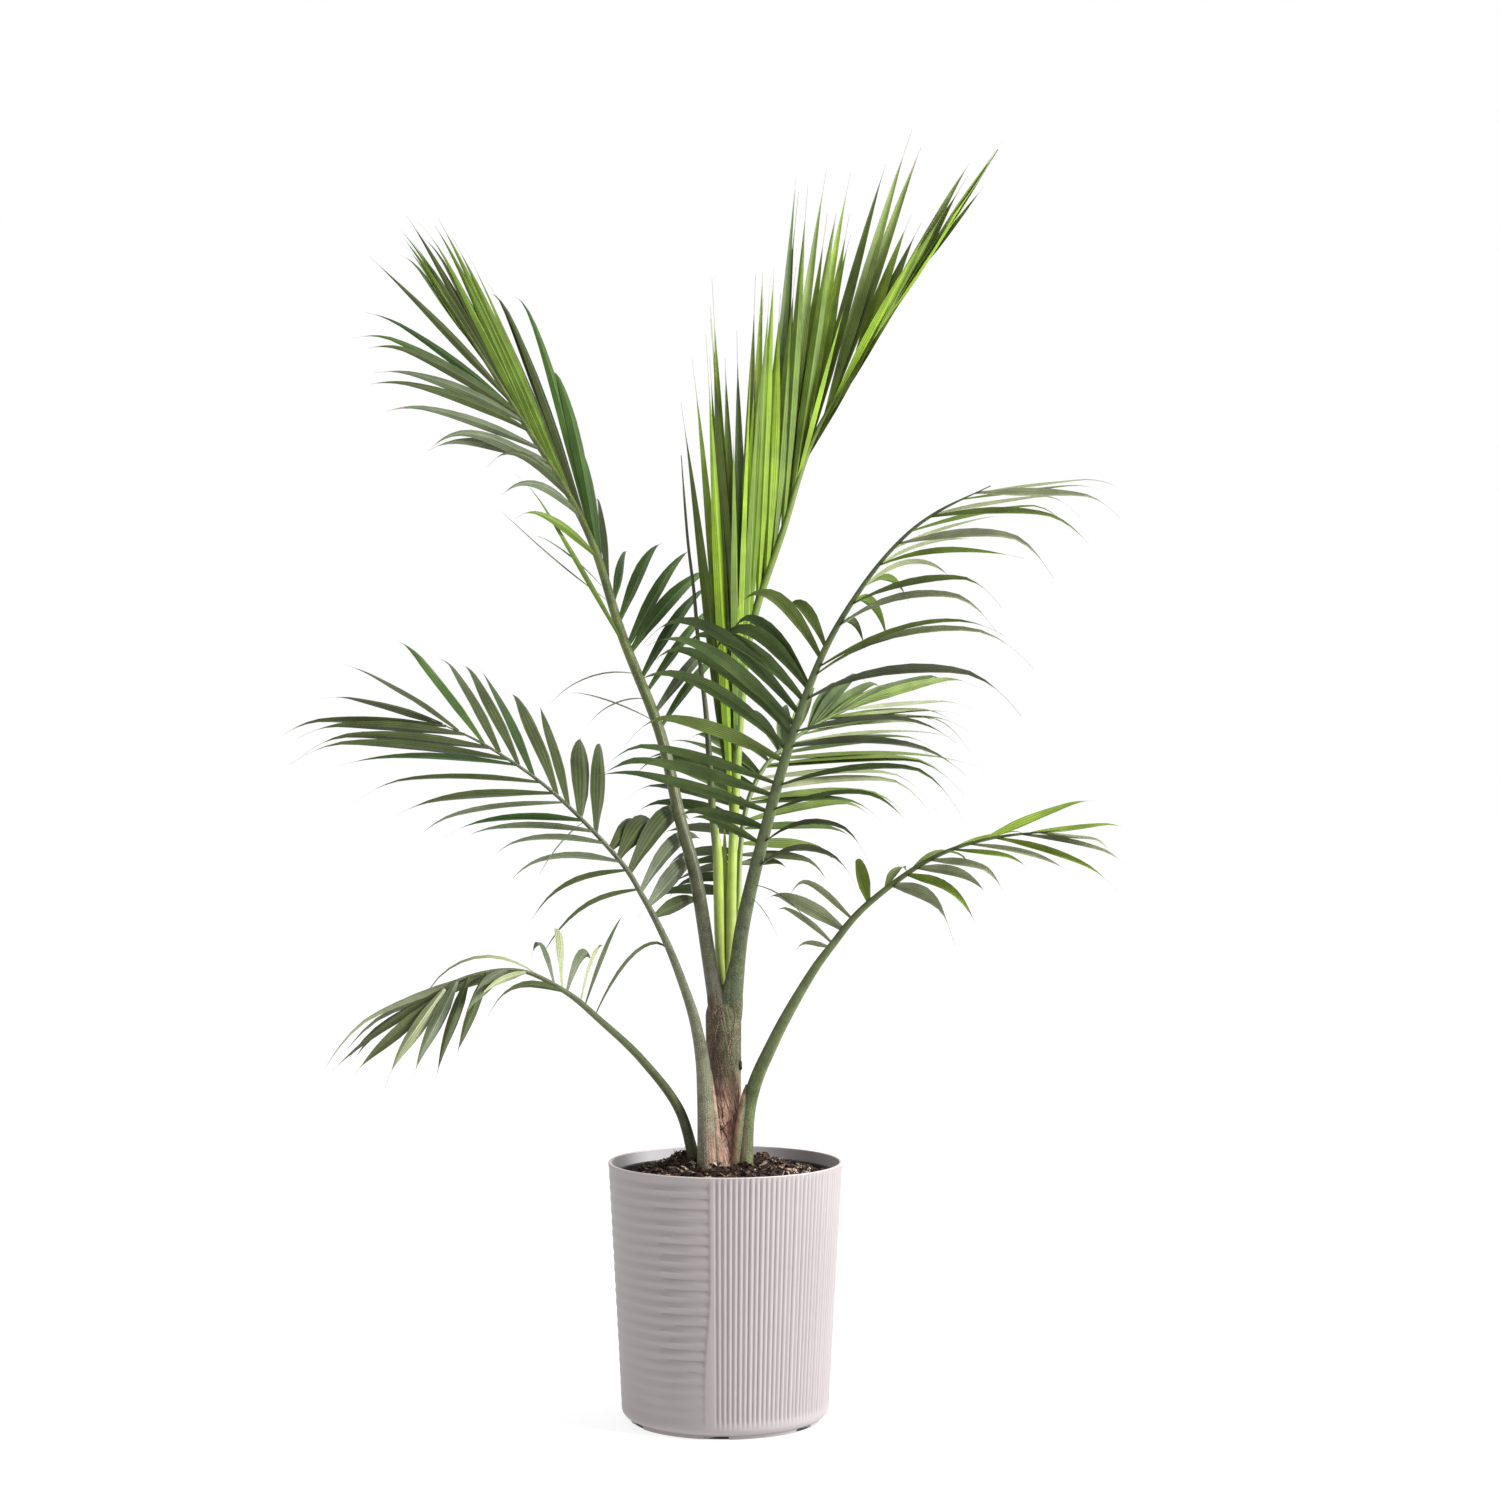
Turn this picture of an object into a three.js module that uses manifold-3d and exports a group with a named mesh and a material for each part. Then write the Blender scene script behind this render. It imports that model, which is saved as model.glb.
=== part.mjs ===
// A young majesty palm in a round white planter. Sizes are in millimetres and +Z is up.
// The origin is the middle of the planter's flat underside. -Y is the side that faces a viewer.
//
// The palm is a short stem with seven feather fronds and one unopened spear. Each frond is a rib
// drawn through a few points, with leaflets on both sides. The tips of each side's leaflets lie
// along a second line, the margin, so a rib and its two margins give the frond's whole outline.

import * as THREE from 'three';
import { mergeVertices } from 'three/addons/utils/BufferGeometryUtils.js';
import Module from 'manifold-3d';

const wasm = await Module();
wasm.setup();

// Clear space between two pieces that touch on the real plant
const GAP = 0.3;

// Outer planter
const POT_HEIGHT = 278.5;
const POT_TOP_RADIUS = 127;
const POT_LOW_RADIUS = 112.3;
const POT_LOW_HEIGHT = 12.7;
const POT_CHAMFER_RADIUS = 104.5;
const POT_CHAMFER_HEIGHT = 4.5;
const POT_FOOT_RADIUS = 103;
const POT_WALL = 3.5;
const POT_FLOOR = 9;
const POT_LIP = 0.8;
const ROUND_SIDES = 56;

// Notches under the edge of the foot
const NOTCH_COUNT = 6;
const NOTCH_WIDTH = 27;
const NOTCH_DEPTH = 9;
const NOTCH_HEIGHT = 2.6;
const NOTCH_TURN = -95;

// Thin grower's pot inside the planter
const LINER_WALL = 2.4;
const LINER_LOW_RADIUS = 98;
const LINER_TOP_RADIUS = 118.5;
const LINER_TOP = 272;
const LINER_LIP_RADIUS = 120.5;
const LINER_LIP_HEIGHT = 3;

// Potting mix
const SOIL_TOP = 268;
const SOIL_EDGE = 264;
const SOIL_FLAT_RADIUS = 46;
const SOIL_RINGS = 5;
const SOIL_WAVE = 2.6;
const SOIL_WAVE_LENGTH = 19;

// Stem: a stub of wrapped leaf bases. Radii are spaced evenly from its foot to its top.
const STEM_TOP = 440;
const STEM_CENTRE = [-1, 1];
const STEM_RADII = [21, 18.4, 16.8, 16.2, 16.4, 17.6, 18.4];
const STEM_DEPTH_SHARE = 1.12;
const STEM_SIDES = 16;
const STEM_STEPS = 8;
const STEM_LOBE = 0.05;
const STEM_LOBES = 3;
const STEM_TWIST = 1.6;

// Ribs and stalks
const RIB_SAMPLES = 240;
const STALK_SIDES = 8;
const STALK_STEP = 30;
const BLADE_RIB_SIDES = 5;
const BLADE_RIB_STEP = 36;
const ROOT_LENGTH = 10;

// Leaflets
const LEAF_STATIONS = [0, 0.22, 0.5, 0.78, 1];
const CURL_STATIONS = [0, 0.2, 0.4, 0.6, 0.8, 1];
const CURL_LIMIT = 0.45;
const LEAF_ROOT_SHARE = 0.3;
const LEAF_WIDEST_FROM = 0.3;
const LEAF_WIDEST_TO = 0.45;
const LEAF_TAPER = 1.7;
const LEAF_THICKNESS = 2;
const LEAF_THIN_SHARE = 1 / 90;
const SAFETY = 0.9;
const NUDGES = [0, 25, -25, 45, -45, 70, -70];
const CLEAN_SIZES = [0.05, 0.1, 0.2, 0.3, 0.45];
const CORNER_SIZE = 0.004;

// Fronds. rib and margin points are [x, y, z]. radius and the lists inside a side run evenly from
// the base to the tip. split is the share of the rib that is bare stalk. A side's span is the
// share of the rib that its leaflets stand on, wild is how far a tip strays from the margin,
// bow and hang lift the inner and outer part of a leaflet by a share of its length, and tilt
// turns the blade about its own length in degrees.
const FRONDS = [
  {
    name: 'lower_left', seed: 13, wild: 3, foot: SOIL_TOP, split: 0.5,
    radius: [6.8, 5.4, 4.6, 3.4, 2.2, 1.2],
    rib: [[-31, -6, 268], [-49, -20, 336], [-88, -60, 395], [-130, -105, 441], [-167, -135, 475],
      [-214, -170, 499], [-270, -205, 491], [-300, -225, 463]],
    back: {
      count: 12, crowd: 1, span: [0.525, 0.9], width: [6, 8, 12, 12, 10, 12, 12, 11, 10], tilt: [15, 15],
      margin: [[-48, -30, 515], [-125, -50, 554], [-129, -60, 499], [-186, -90, 514], [-234, -120, 503],
        [-413, -200, 413], [-397, -215, 429], [-399, -235, 399], [-390, -245, 406]],
      bow: [0.25, 0, 0.5, 0.7, 0.5, 0.06, 0.05, 0.03, 0.02],
      hang: [0.35, 0, 0.5, 0.7, 0.5, 0.1, 0.1, 0.08, 0.06],
    },
    front: {
      count: 9, crowd: 0.5, span: [0.59, 0.985], width: [9, 9, 10, 13, 13, 14, 13],
      tilt: [60, 60, 20, 0, 0, 0, 0],
      margin: [[-241, -250, 428], [-250, -260, 479], [-256, -262, 466], [-265, -268, 418],
        [-298, -272, 410], [-332, -275, 399], [-366, -265, 405]],
      bow: [0.12, 0.03, 0, 0, 0, 0, 0], hang: [0.35, 0.05, 0.05, 0.03, 0.03, 0.02, 0.02],
    },
  },
  {
    name: 'middle_left', seed: 11, wild: 3, foot: SOIL_TOP, split: 0.42,
    radius: [10.5, 9, 5.6, 3.6, 2.6, 1.9, 1.2],
    rib: [[-19, -29, 268], [-21, -30, 348], [-24, -33, 392], [-32, -36, 435], [-46, -40, 478],
      [-63, -46, 521], [-86, -52, 566], [-114, -60, 610], [-181, -85, 680], [-247, -110, 728],
      [-306, -130, 757]],
    back: {
      count: 15, crowd: 1, span: [0.47, 0.99], width: [12, 15, 15, 18, 18, 17, 15, 12], tilt: [15, 15],
      margin: [[-20, 30, 560], [-27, 40, 602], [-33, 50, 639], [-44, 45, 658], [-83, 40, 628],
        [-127, 35, 730], [-168, 25, 762], [-203, 20, 784], [-251, 10, 814], [-282, -5, 833],
        [-299, -15, 831], [-342, -30, 856], [-397, -60, 831], [-436, -110, 790]],
      bow: [0.06, 0.15, 0.2, 0.04, 0.03, 0.03, 0.02, 0.02],
      hang: [0.1, 0.3, 0.4, 0.05, 0.03, 0.02, 0, 0],
    },
    front: {
      count: 11, crowd: 1, span: [0.53, 0.985], width: [15, 16, 15, 12], tilt: [62, 68, 62, 40],
      margin: [[-197, -115, 497], [-234, -130, 571], [-254, -140, 614], [-302, -155, 640],
        [-338, -170, 638], [-380, -185, 686], [-431, -200, 723], [-448, -195, 739], [-449, -170, 753]],
      bow: [0.12, 0.07, 0.05, 0.04, 0.03], hang: [0.3, 0.15, 0.1, 0.06, 0.03],
    },
  },
  {
    name: 'upper_left', seed: 17, wild: 3, foot: STEM_TOP, split: 0.38,
    radius: [8, 6.6, 5.2, 3.6, 2.6, 1.5],
    rib: [[-9, -6, 440], [-19, -10, 508], [-32, -6, 588], [-48, 0, 648], [-71, 12, 745],
      [-113, 30, 851], [-155, 55, 973], [-234, 85, 1104], [-288, 105, 1190], [-330, 118, 1254]],
    back: {
      count: 24, crowd: 1, span: [0.4, 0.985], width: [13, 15, 16, 17, 13, 13, 12, 11, 10, 9],
      tilt: [20, 20],
      margin: [[21, 110, 848], [-5, 115, 902], [-27, 120, 961], [-117, 120, 965], [-204, 125, 1178],
        [-275, 150, 1277], [-307, 150, 1307], [-329, 150, 1337], [-347, 145, 1334], [-362, 140, 1329],
        [-373, 138, 1323], [-379, 135, 1317]],
      bow: [0.1, 0.1, 0.12, 0.14, 0.03, 0.02, 0.02, 0.02, 0],
      hang: [0.1, 0.12, 0.2, 0.25, 0.02, 0, 0, 0, 0],
    },
    front: {
      count: 11, crowd: 0.5, span: [0.5, 0.9], width: [8, 13, 14, 12, 13, 14, 13, 12, 10], tilt: [30, 30],
      margin: [[-223, 20, 1035], [-234, -30, 972], [-245, -20, 1014], [-285, -10, 1046],
        [-336, 0, 1064], [-357, 0, 1099], [-393, 5, 1130], [-388, 10, 1161], [-392, 15, 1181],
        [-421, 25, 1207], [-392, 70, 1263]],
      bow: [0.02, 0.15, 0.16, 0.08, 0.06, 0.06, 0.05, 0.05, 0.03],
      hang: [0.02, 0.35, 0.35, 0.12, 0.1, 0.08, 0.06, 0.05, 0.02],
    },
  },
  {
    name: 'top', seed: 19, wild: 4, foot: STEM_TOP, split: 0.33,
    radius: [4.6, 5.2, 5, 3.4, 2.4, 1.6],
    rib: [[5, 9, 440], [7, 9, 496], [8, 12, 616], [17, 20, 779], [30, 27, 867], [63, 35, 966],
      [97, 45, 1068], [161, 58, 1174], [239, 78, 1294], [304, 95, 1396]],
    back: {
      count: 23, crowd: 1.5, span: [0.35, 0.96], width: [12, 14, 13, 12, 10], tilt: [20, 20],
      margin: [[-50, 70, 1191], [-26, 72, 1206], [-8, 75, 1224], [19, 85, 1265], [48, 92, 1308],
        [95, 97, 1354], [135, 102, 1388], [159, 104, 1360], [204, 106, 1418], [229, 104, 1336],
        [269, 102, 1397], [302, 100, 1396]],
      bow: [0, 0], hang: [0.03, 0.01, 0],
    },
    front: {
      count: 18, crowd: 1.4, span: [0.37, 0.955], width: [12, 13, 12, 9], tilt: [20, 20],
      margin: [[-9, -30, 1153], [20, -20, 1154], [45, 0, 1222], [70, 15, 1278], [105, 30, 1319],
        [181, 45, 1224], [231, 55, 1304], [284, 65, 1369], [309, 80, 1372]],
      bow: [0, 0], hang: [0.03, 0.01, 0],
    },
  },
  {
    name: 'upper_right', seed: 23, wild: 4, foot: STEM_TOP, split: 0.235,
    radius: [9, 6.4, 5.4, 3.8, 2.2, 1.3],
    rib: [[9, -6, 440], [11, -12, 467], [18, -24, 531], [37, -46, 616], [67, -82, 726],
      [101, -110, 821], [139, -135, 888], [178, -155, 937], [217, -172, 968], [272, -195, 994]],
    back: {
      count: 19, crowd: 1, span: [0.29, 0.98], width: [11, 13, 14, 15, 16, 16, 15, 14, 12, 11],
      tilt: [15, 15],
      margin: [[-21, -10, 647], [-128, -35, 699], [-127, -45, 742], [-82, -50, 829], [-91, -55, 848],
        [-18, -45, 830], [25, -40, 879], [146, -60, 842], [201, -90, 891], [297, -110, 964],
        [372, -140, 991], [403, -170, 1012]],
      bow: [0.04, 0.05, 0.06, 0.14, 0.2, 0.25, 0.3, 0.5, 0.3, 0.08, 0.03, 0.02],
      hang: [0.05, 0.05, 0.1, 0.25, 0.3, 0.4, 0.45, 0.4, 0.25, 0.06, 0.02, 0],
    },
    front: {
      count: 14, crowd: 1, span: [0.25, 0.975], width: [9, 12, 13, 13, 13, 11], tilt: [50, 45, 30],
      margin: [[146, -130, 589], [151, -190, 651], [234, -225, 684], [245, -255, 730], [295, -270, 809],
        [290, -272, 846], [297, -275, 888], [289, -275, 913], [360, -270, 925], [396, -250, 973]],
      bow: [0.22, 0.12, 0.08, 0.08, 0.12, 0.14, 0.14, 0.1, 0.08, 0.03],
      hang: [0.2, 0.15, 0.1, 0.1, 0.12, 0.14, 0.1, 0.05, 0.15, 0.05],
    },
  },
  {
    name: 'lower_right', seed: 29, wild: 3, foot: SOIL_TOP, split: 0.46,
    radius: [7, 8, 6.4, 4.4, 3.4, 2.2, 1.3],
    rib: [[22, -20, 268], [27, -17, 347], [52, -45, 414], [87, -80, 481], [113, -102, 520],
      [148, -125, 563], [210, -160, 611], [269, -190, 634], [340, -225, 644]],
    back: {
      count: 11, crowd: 1.6, span: [0.5, 0.975], width: [6, 6, 15, 9, 15, 15, 15, 12, 15, 16],
      tilt: [15, 15],
      margin: [[76, -30, 491], [50, -40, 559], [43, -40, 580], [93, -50, 588], [163, -60, 615],
        [233, -90, 582], [308, -130, 631], [383, -160, 676], [417, -230, 652]],
      bow: [0.05, 0.12, 0.1, 0.12, 0, 0.6, 0.1, 0.03, 0.02],
      hang: [0.3, 0.1, 0.05, 0.3, 0, 0.6, 0.05, 0.02, 0],
    },
    front: {
      count: 9, crowd: 1, span: [0.66, 0.975], width: [14, 14, 11, 8, 13], tilt: [10, 20, 30],
      margin: [[242, -240, 536], [268, -240, 587], [304, -260, 613], [395, -280, 598], [392, -270, 633]],
      bow: [0.14, 0.06, 0.03, 0.06, 0.02], hang: [0.22, 0.12, 0.06, 0.1, 0],
    },
  },
  {
    name: 'rear', seed: 37, wild: 6, foot: STEM_TOP, split: 0.2,
    radius: [3.3, 3.2, 2.8, 2, 1.2],
    rib: [[0, 18, 440], [13, 32, 544], [16, 52, 614], [25, 75, 669], [49, 105, 713], [97, 150, 751],
      [156, 200, 779], [208, 250, 795]],
    back: {
      count: 14, crowd: 1, span: [0.26, 0.975], width: [11, 13, 14, 12], tilt: [15, 15],
      margin: [[-80, 100, 551], [-73, 120, 604], [-130, 150, 708], [-71, 190, 742], [74, 250, 795],
        [211, 300, 817], [300, 330, 805]],
      bow: [0.1, 0.1, 0.08, 0.06], hang: [0.12, 0.1, 0.06, 0.05],
    },
    front: {
      count: 14, crowd: 1, span: [0.32, 0.975], width: [12, 15, 15, 12], tilt: [30, 30],
      margin: [[82, 60, 581], [166, 90, 644], [235, 120, 681], [286, 150, 704], [255, 200, 750],
        [281, 240, 767], [301, 280, 791]],
      bow: [0.06, 0.05, 0.02], hang: [0.12, 0.08, 0.03],
    },
  },
];

// The unopened leaf stands like a thin rod
const SPEAR = {
  foot: STEM_TOP,
  radius: [4.2, 5, 4.2, 2.6, 1.8, 1.1],
  rib: [[-6, 9, 440], [-8, 6, 587], [-14, 5, 660], [-20, 5, 755], [-28, 5, 826], [-34, 5, 896],
    [-41, 5, 955], [-48, 5, 1045]],
};

const COLOURS = {
  planter: 0xbdb6b4, liner: 0x1b1b1c, soil: 0x3a2b22, stem: 0x7d6355, spear: 0x6f7a4c,
  stalk: 0x63704a, young: 0x7fa03c, leaf: 0x4c6636,
};

const UP = new THREE.Vector3(0, 0, 1);

function vector(point) {
  return new THREE.Vector3(point[0], point[1], point[2]);
}

// The value at share u of a list whose entries are evenly spaced
function along(values, u) {
  const place = Math.min(u * (values.length - 1), values.length - 1 - 1e-9);
  const index = Math.floor(place);
  return values[index] + (values[index + 1] - values[index]) * (place - index);
}

// Repeatable random numbers from -1 to 1
function makeSpread(seed) {
  let state = seed;
  return () => {
    state = (state * 16807) % 2147483647;
    return (state / 2147483647) * 2 - 1;
  };
}

// A smooth line that can be asked for its point and direction at any distance from its start
class Rib {
  constructor(points) {
    const curve = new THREE.CatmullRomCurve3(points.map(vector), false, 'catmullrom', 0.5);
    this.points = [];
    this.reach = [0];
    for (let i = 0; i <= RIB_SAMPLES; i += 1) {
      this.points.push(curve.getPoint(i / RIB_SAMPLES));
      if (i > 0) this.reach.push(this.reach[i - 1] + this.points[i].distanceTo(this.points[i - 1]));
    }
    this.length = this.reach[RIB_SAMPLES];
  }

  at(distance) {
    let i = 1;
    while (i < RIB_SAMPLES && this.reach[i] < distance) i += 1;
    const share = (distance - this.reach[i - 1]) / (this.reach[i] - this.reach[i - 1]);
    return this.points[i - 1].clone().lerp(this.points[i], share);
  }

  direction(distance) {
    const step = this.length / 200;
    const before = this.at(Math.max(0, distance - step));
    return this.at(Math.min(this.length, distance + step)).sub(before).normalize();
  }
}

// A closed skin over rings of points. A last ring of one point makes a pointed end.
function loft(rings) {
  const corners = rings[0].length;
  const positions = [];
  const faces = [];
  const put = (point) => positions.push(point.x, point.y, point.z) / 3 - 1;
  const rows = rings.map((ring) => ring.map(put));
  const tip = rows[rows.length - 1].length === 1;
  const tubes = tip ? rows.length - 2 : rows.length - 1;
  for (let i = 0; i < tubes; i += 1) {
    for (let k = 0; k < corners; k += 1) {
      const next = (k + 1) % corners;
      faces.push(rows[i][k], rows[i][next], rows[i + 1][next]);
      faces.push(rows[i][k], rows[i + 1][next], rows[i + 1][k]);
    }
  }
  const foot = put(middle(rings[0]));
  const last = rows[tubes];
  const head = tip ? rows[rows.length - 1][0] : put(middle(rings[rings.length - 1]));
  for (let k = 0; k < corners; k += 1) {
    const next = (k + 1) % corners;
    faces.push(foot, rows[0][next], rows[0][k]);
    faces.push(head, last[k], last[next]);
  }
  const geometry = new THREE.BufferGeometry();
  geometry.setAttribute('position', new THREE.Float32BufferAttribute(positions, 3));
  geometry.setIndex(faces);
  return geometry;
}

function middle(ring) {
  const sum = new THREE.Vector3();
  ring.forEach((point) => sum.add(point));
  return sum.divideScalar(ring.length);
}

function toSolid(geometry) {
  const bare = geometry.clone();
  bare.deleteAttribute('normal');
  bare.deleteAttribute('uv');
  const merged = mergeVertices(bare, 1e-4);
  return new wasm.Manifold(new wasm.Mesh({
    numProp: 3,
    vertProperties: Float32Array.from(merged.attributes.position.array),
    triVerts: Uint32Array.from(merged.index.array),
  }));
}

function toGeometry(solid) {
  const mesh = solid.getMesh();
  const geometry = new THREE.BufferGeometry();
  geometry.setAttribute('position', new THREE.BufferAttribute(mesh.vertProperties, 3));
  geometry.setIndex(new THREE.BufferAttribute(mesh.triVerts, 1));
  return geometry;
}

// True when corners lie in cells of their own and each edge belongs to just two faces
function isCleanSkin(solid) {
  const { vertProperties, triVerts } = solid.getMesh();
  return [0, CORNER_SIZE / 2].every((shift) => {
    const cells = new Set();
    for (let i = 0; i < vertProperties.length; i += 3) {
      const corner = vertProperties.slice(i, i + 3);
      cells.add(Array.from(corner, (value) => Math.round((value + shift) / CORNER_SIZE)).join());
    }
    return cells.size === vertProperties.length / 3;
  }) && countEdges(triVerts) === triVerts.length;
}

function countEdges(triVerts) {
  const edges = new Set();
  for (let i = 0; i < triVerts.length; i += 1) {
    const next = i % 3 === 2 ? i - 2 : i + 1;
    edges.add(`${triVerts[i]},${triVerts[next]}`);
  }
  return edges.size;
}

// The largest outer skin of a joined solid, without scraps, sealed hollows and tiny edges
function mainBody(solid) {
  const bodies = solid.decompose();
  bodies.sort((a, b) => b.volume() - a.volume());
  const cleaned = CLEAN_SIZES.map((size) => bodies[0].simplify(size));
  return cleaned.find(isCleanSkin) ?? cleaned[0];
}

// A ring square to the line's direction, with one corner towards the viewer's side
function ringAt(rib, distance, radius, sides) {
  const centre = rib.at(distance);
  const forward = rib.direction(distance);
  const across = new THREE.Vector3(0, -1, 0);
  across.addScaledVector(forward, -across.dot(forward)).normalize();
  const other = forward.clone().cross(across);
  const ring = [];
  for (let k = 0; k < sides; k += 1) {
    const angle = (2 * Math.PI * k) / sides;
    const point = centre.clone().addScaledVector(across, Math.cos(angle) * radius);
    ring.push(point.addScaledVector(other, Math.sin(angle) * radius));
  }
  return ring;
}

// A tapering rod along part of a rib. With a level given, its foot is cut flat there.
function rod(rib, radii, from, to, sides, step, level = null) {
  const steps = Math.max(2, Math.ceil((to - from) / step));
  const rings = [];
  for (let i = 0; i <= steps; i += 1) {
    const distance = from + ((to - from) * i) / steps;
    rings.push(ringAt(rib, distance, along(radii, distance / rib.length), sides));
  }
  if (level !== null) slideToLevel(rings[0], rib.direction(from), level);
  return toSolid(loft(rings));
}

// Slides each point of a ring along the rod's direction until it lies on a level
function slideToLevel(ring, forward, level) {
  ring.forEach((point) => point.addScaledVector(forward, (level - point.z) / forward.z));
}

// A copy of a rib's points that starts below the level it stands on
function rooted(points) {
  const start = vector(points[0]);
  const away = start.clone().sub(vector(points[1])).normalize();
  return [start.addScaledVector(away, ROOT_LENGTH).toArray(), ...points];
}

function bezier(p, q) {
  const r = 1 - q;
  const point = p[0].clone().multiplyScalar(r * r * r);
  point.addScaledVector(p[1], 3 * r * r * q).addScaledVector(p[2], 3 * r * q * q);
  return point.addScaledVector(p[3], q * q * q);
}

function bezierDirection(p, q) {
  const r = 1 - q;
  const first = p[1].clone().sub(p[0]).multiplyScalar(3 * r * r);
  first.addScaledVector(p[2].clone().sub(p[1]), 6 * r * q);
  return first.addScaledVector(p[3].clone().sub(p[2]), 3 * q * q).normalize();
}

// Share of the full width at share q of a leaflet's length
function widthShare(q) {
  const grow = LEAF_ROOT_SHARE + (1 - LEAF_ROOT_SHARE) * Math.min(1, q / LEAF_WIDEST_FROM);
  if (q <= LEAF_WIDEST_TO) return grow;
  return 1 - ((q - LEAF_WIDEST_TO) / (1 - LEAF_WIDEST_TO)) ** LEAF_TAPER;
}

// Control points of leaflet i on one side of a frond, its tip moved by nudge along Y
function leafLine(frond, rib, margin, side, i, stray, nudge) {
  const u = i / (side.count - 1);
  const share = side.span[0] + (side.span[1] - side.span[0]) * u ** side.crowd;
  const base = rib.at(share * rib.length);
  const tip = margin.getPoint(u).addScaledVector(stray, frond.wild);
  tip.y += nudge;
  const chord = tip.clone().sub(base);
  const length = chord.length();
  const inner = base.clone().addScaledVector(chord, 1 / 3);
  inner.addScaledVector(UP, length * along(side.bow, u));
  const outer = tip.clone().addScaledVector(chord, -1 / 3);
  outer.addScaledVector(UP, length * along(side.hang, u));
  return { u, length, forward: rib.direction(share * rib.length), line: [base, inner, outer, tip] };
}

// A thin blade with a ridge along its middle. extra makes it thicker all round.
function leaflet(side, leaf, hand, extra) {
  const { u, length, line } = leaf;
  const bend = along(side.bow, u) + along(side.hang, u);
  const stations = bend > CURL_LIMIT ? CURL_STATIONS : LEAF_STATIONS;
  const thick = Math.max(LEAF_THICKNESS, length * LEAF_THIN_SHARE) / 2 + extra;
  const full = along(side.width, u) / 2;
  let ahead = bezierDirection(line, 0);
  const across = leaf.forward.clone().addScaledVector(ahead, -leaf.forward.dot(ahead)).normalize();
  across.applyAxisAngle(ahead, THREE.MathUtils.degToRad(along(side.tilt, u) * hand));
  const rings = stations.map((q) => {
    const point = bezier(line, q);
    const next = bezierDirection(line, q);
    across.applyQuaternion(new THREE.Quaternion().setFromUnitVectors(ahead, next));
    across.addScaledVector(next, -across.dot(next)).normalize();
    ahead = next;
    if (q === 1) return [point.addScaledVector(next, extra)];
    const half = full * widthShare(q) + extra * 2;
    const upper = next.clone().cross(across).multiplyScalar(hand * thick);
    const under = point.clone().sub(upper);
    const right = under.clone().addScaledVector(across, half * hand);
    const left = under.clone().addScaledVector(across, -half * hand);
    return [right, point.add(upper), left];
  });
  return toSolid(loft(rings));
}

function meets(solid, other) {
  const a = solid.boundingBox();
  const b = other.boundingBox();
  for (let k = 0; k < 3; k += 1) {
    if (a.min[k] > b.max[k] || b.min[k] > a.max[k]) return false;
  }
  return !solid.intersect(other).isEmpty();
}

// The leaflets of one side. One that would touch another limb is moved, or else left out.
function leafletsOfSide(frond, rib, key, hand, others) {
  const side = frond[key];
  const spread = makeSpread(frond.seed + hand + 1);
  const margin = new THREE.CatmullRomCurve3(side.margin.map(vector), false, 'catmullrom', 0.5);
  const made = [];
  for (let i = 0; i < side.count; i += 1) {
    const stray = new THREE.Vector3(spread(), spread(), spread());
    const free = NUDGES.find((nudge) => {
      const leaf = leafLine(frond, rib, margin, side, i, stray, nudge);
      const bulky = leaflet(side, leaf, hand, SAFETY);
      return !others.some((other) => meets(bulky, other));
    });
    if (free !== undefined) {
      const leaf = leafLine(frond, rib, margin, side, i, stray, free);
      made.push(leaflet(side, leaf, hand, 0));
    }
  }
  return made;
}

function ringOfStem(level, share) {
  const radius = along(STEM_RADII, share);
  const ring = [];
  for (let k = 0; k < STEM_SIDES; k += 1) {
    const angle = (2 * Math.PI * k) / STEM_SIDES;
    const lobe = 1 + STEM_LOBE * (1 - share) * Math.cos(STEM_LOBES * angle + STEM_TWIST * share * 4);
    const x = STEM_CENTRE[0] + radius * lobe * Math.cos(angle);
    const y = STEM_CENTRE[1] + radius * lobe * STEM_DEPTH_SHARE * Math.sin(angle);
    ring.push(new THREE.Vector3(x, y, level));
  }
  return ring;
}

function makeStem() {
  const foot = SOIL_TOP + GAP;
  const rings = [];
  for (let i = 0; i <= STEM_STEPS; i += 1) {
    const share = i / STEM_STEPS;
    rings.push(ringOfStem(foot + (STEM_TOP - foot) * share, share));
  }
  return toSolid(loft(rings));
}

// A round body from a profile of [radius, height] pairs that starts and ends on the axis
function turned(profile) {
  const points = profile.map(([radius, height]) => new THREE.Vector2(radius, height));
  const geometry = new THREE.LatheGeometry(points, ROUND_SIDES);
  geometry.rotateX(Math.PI / 2);
  return geometry;
}

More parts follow.
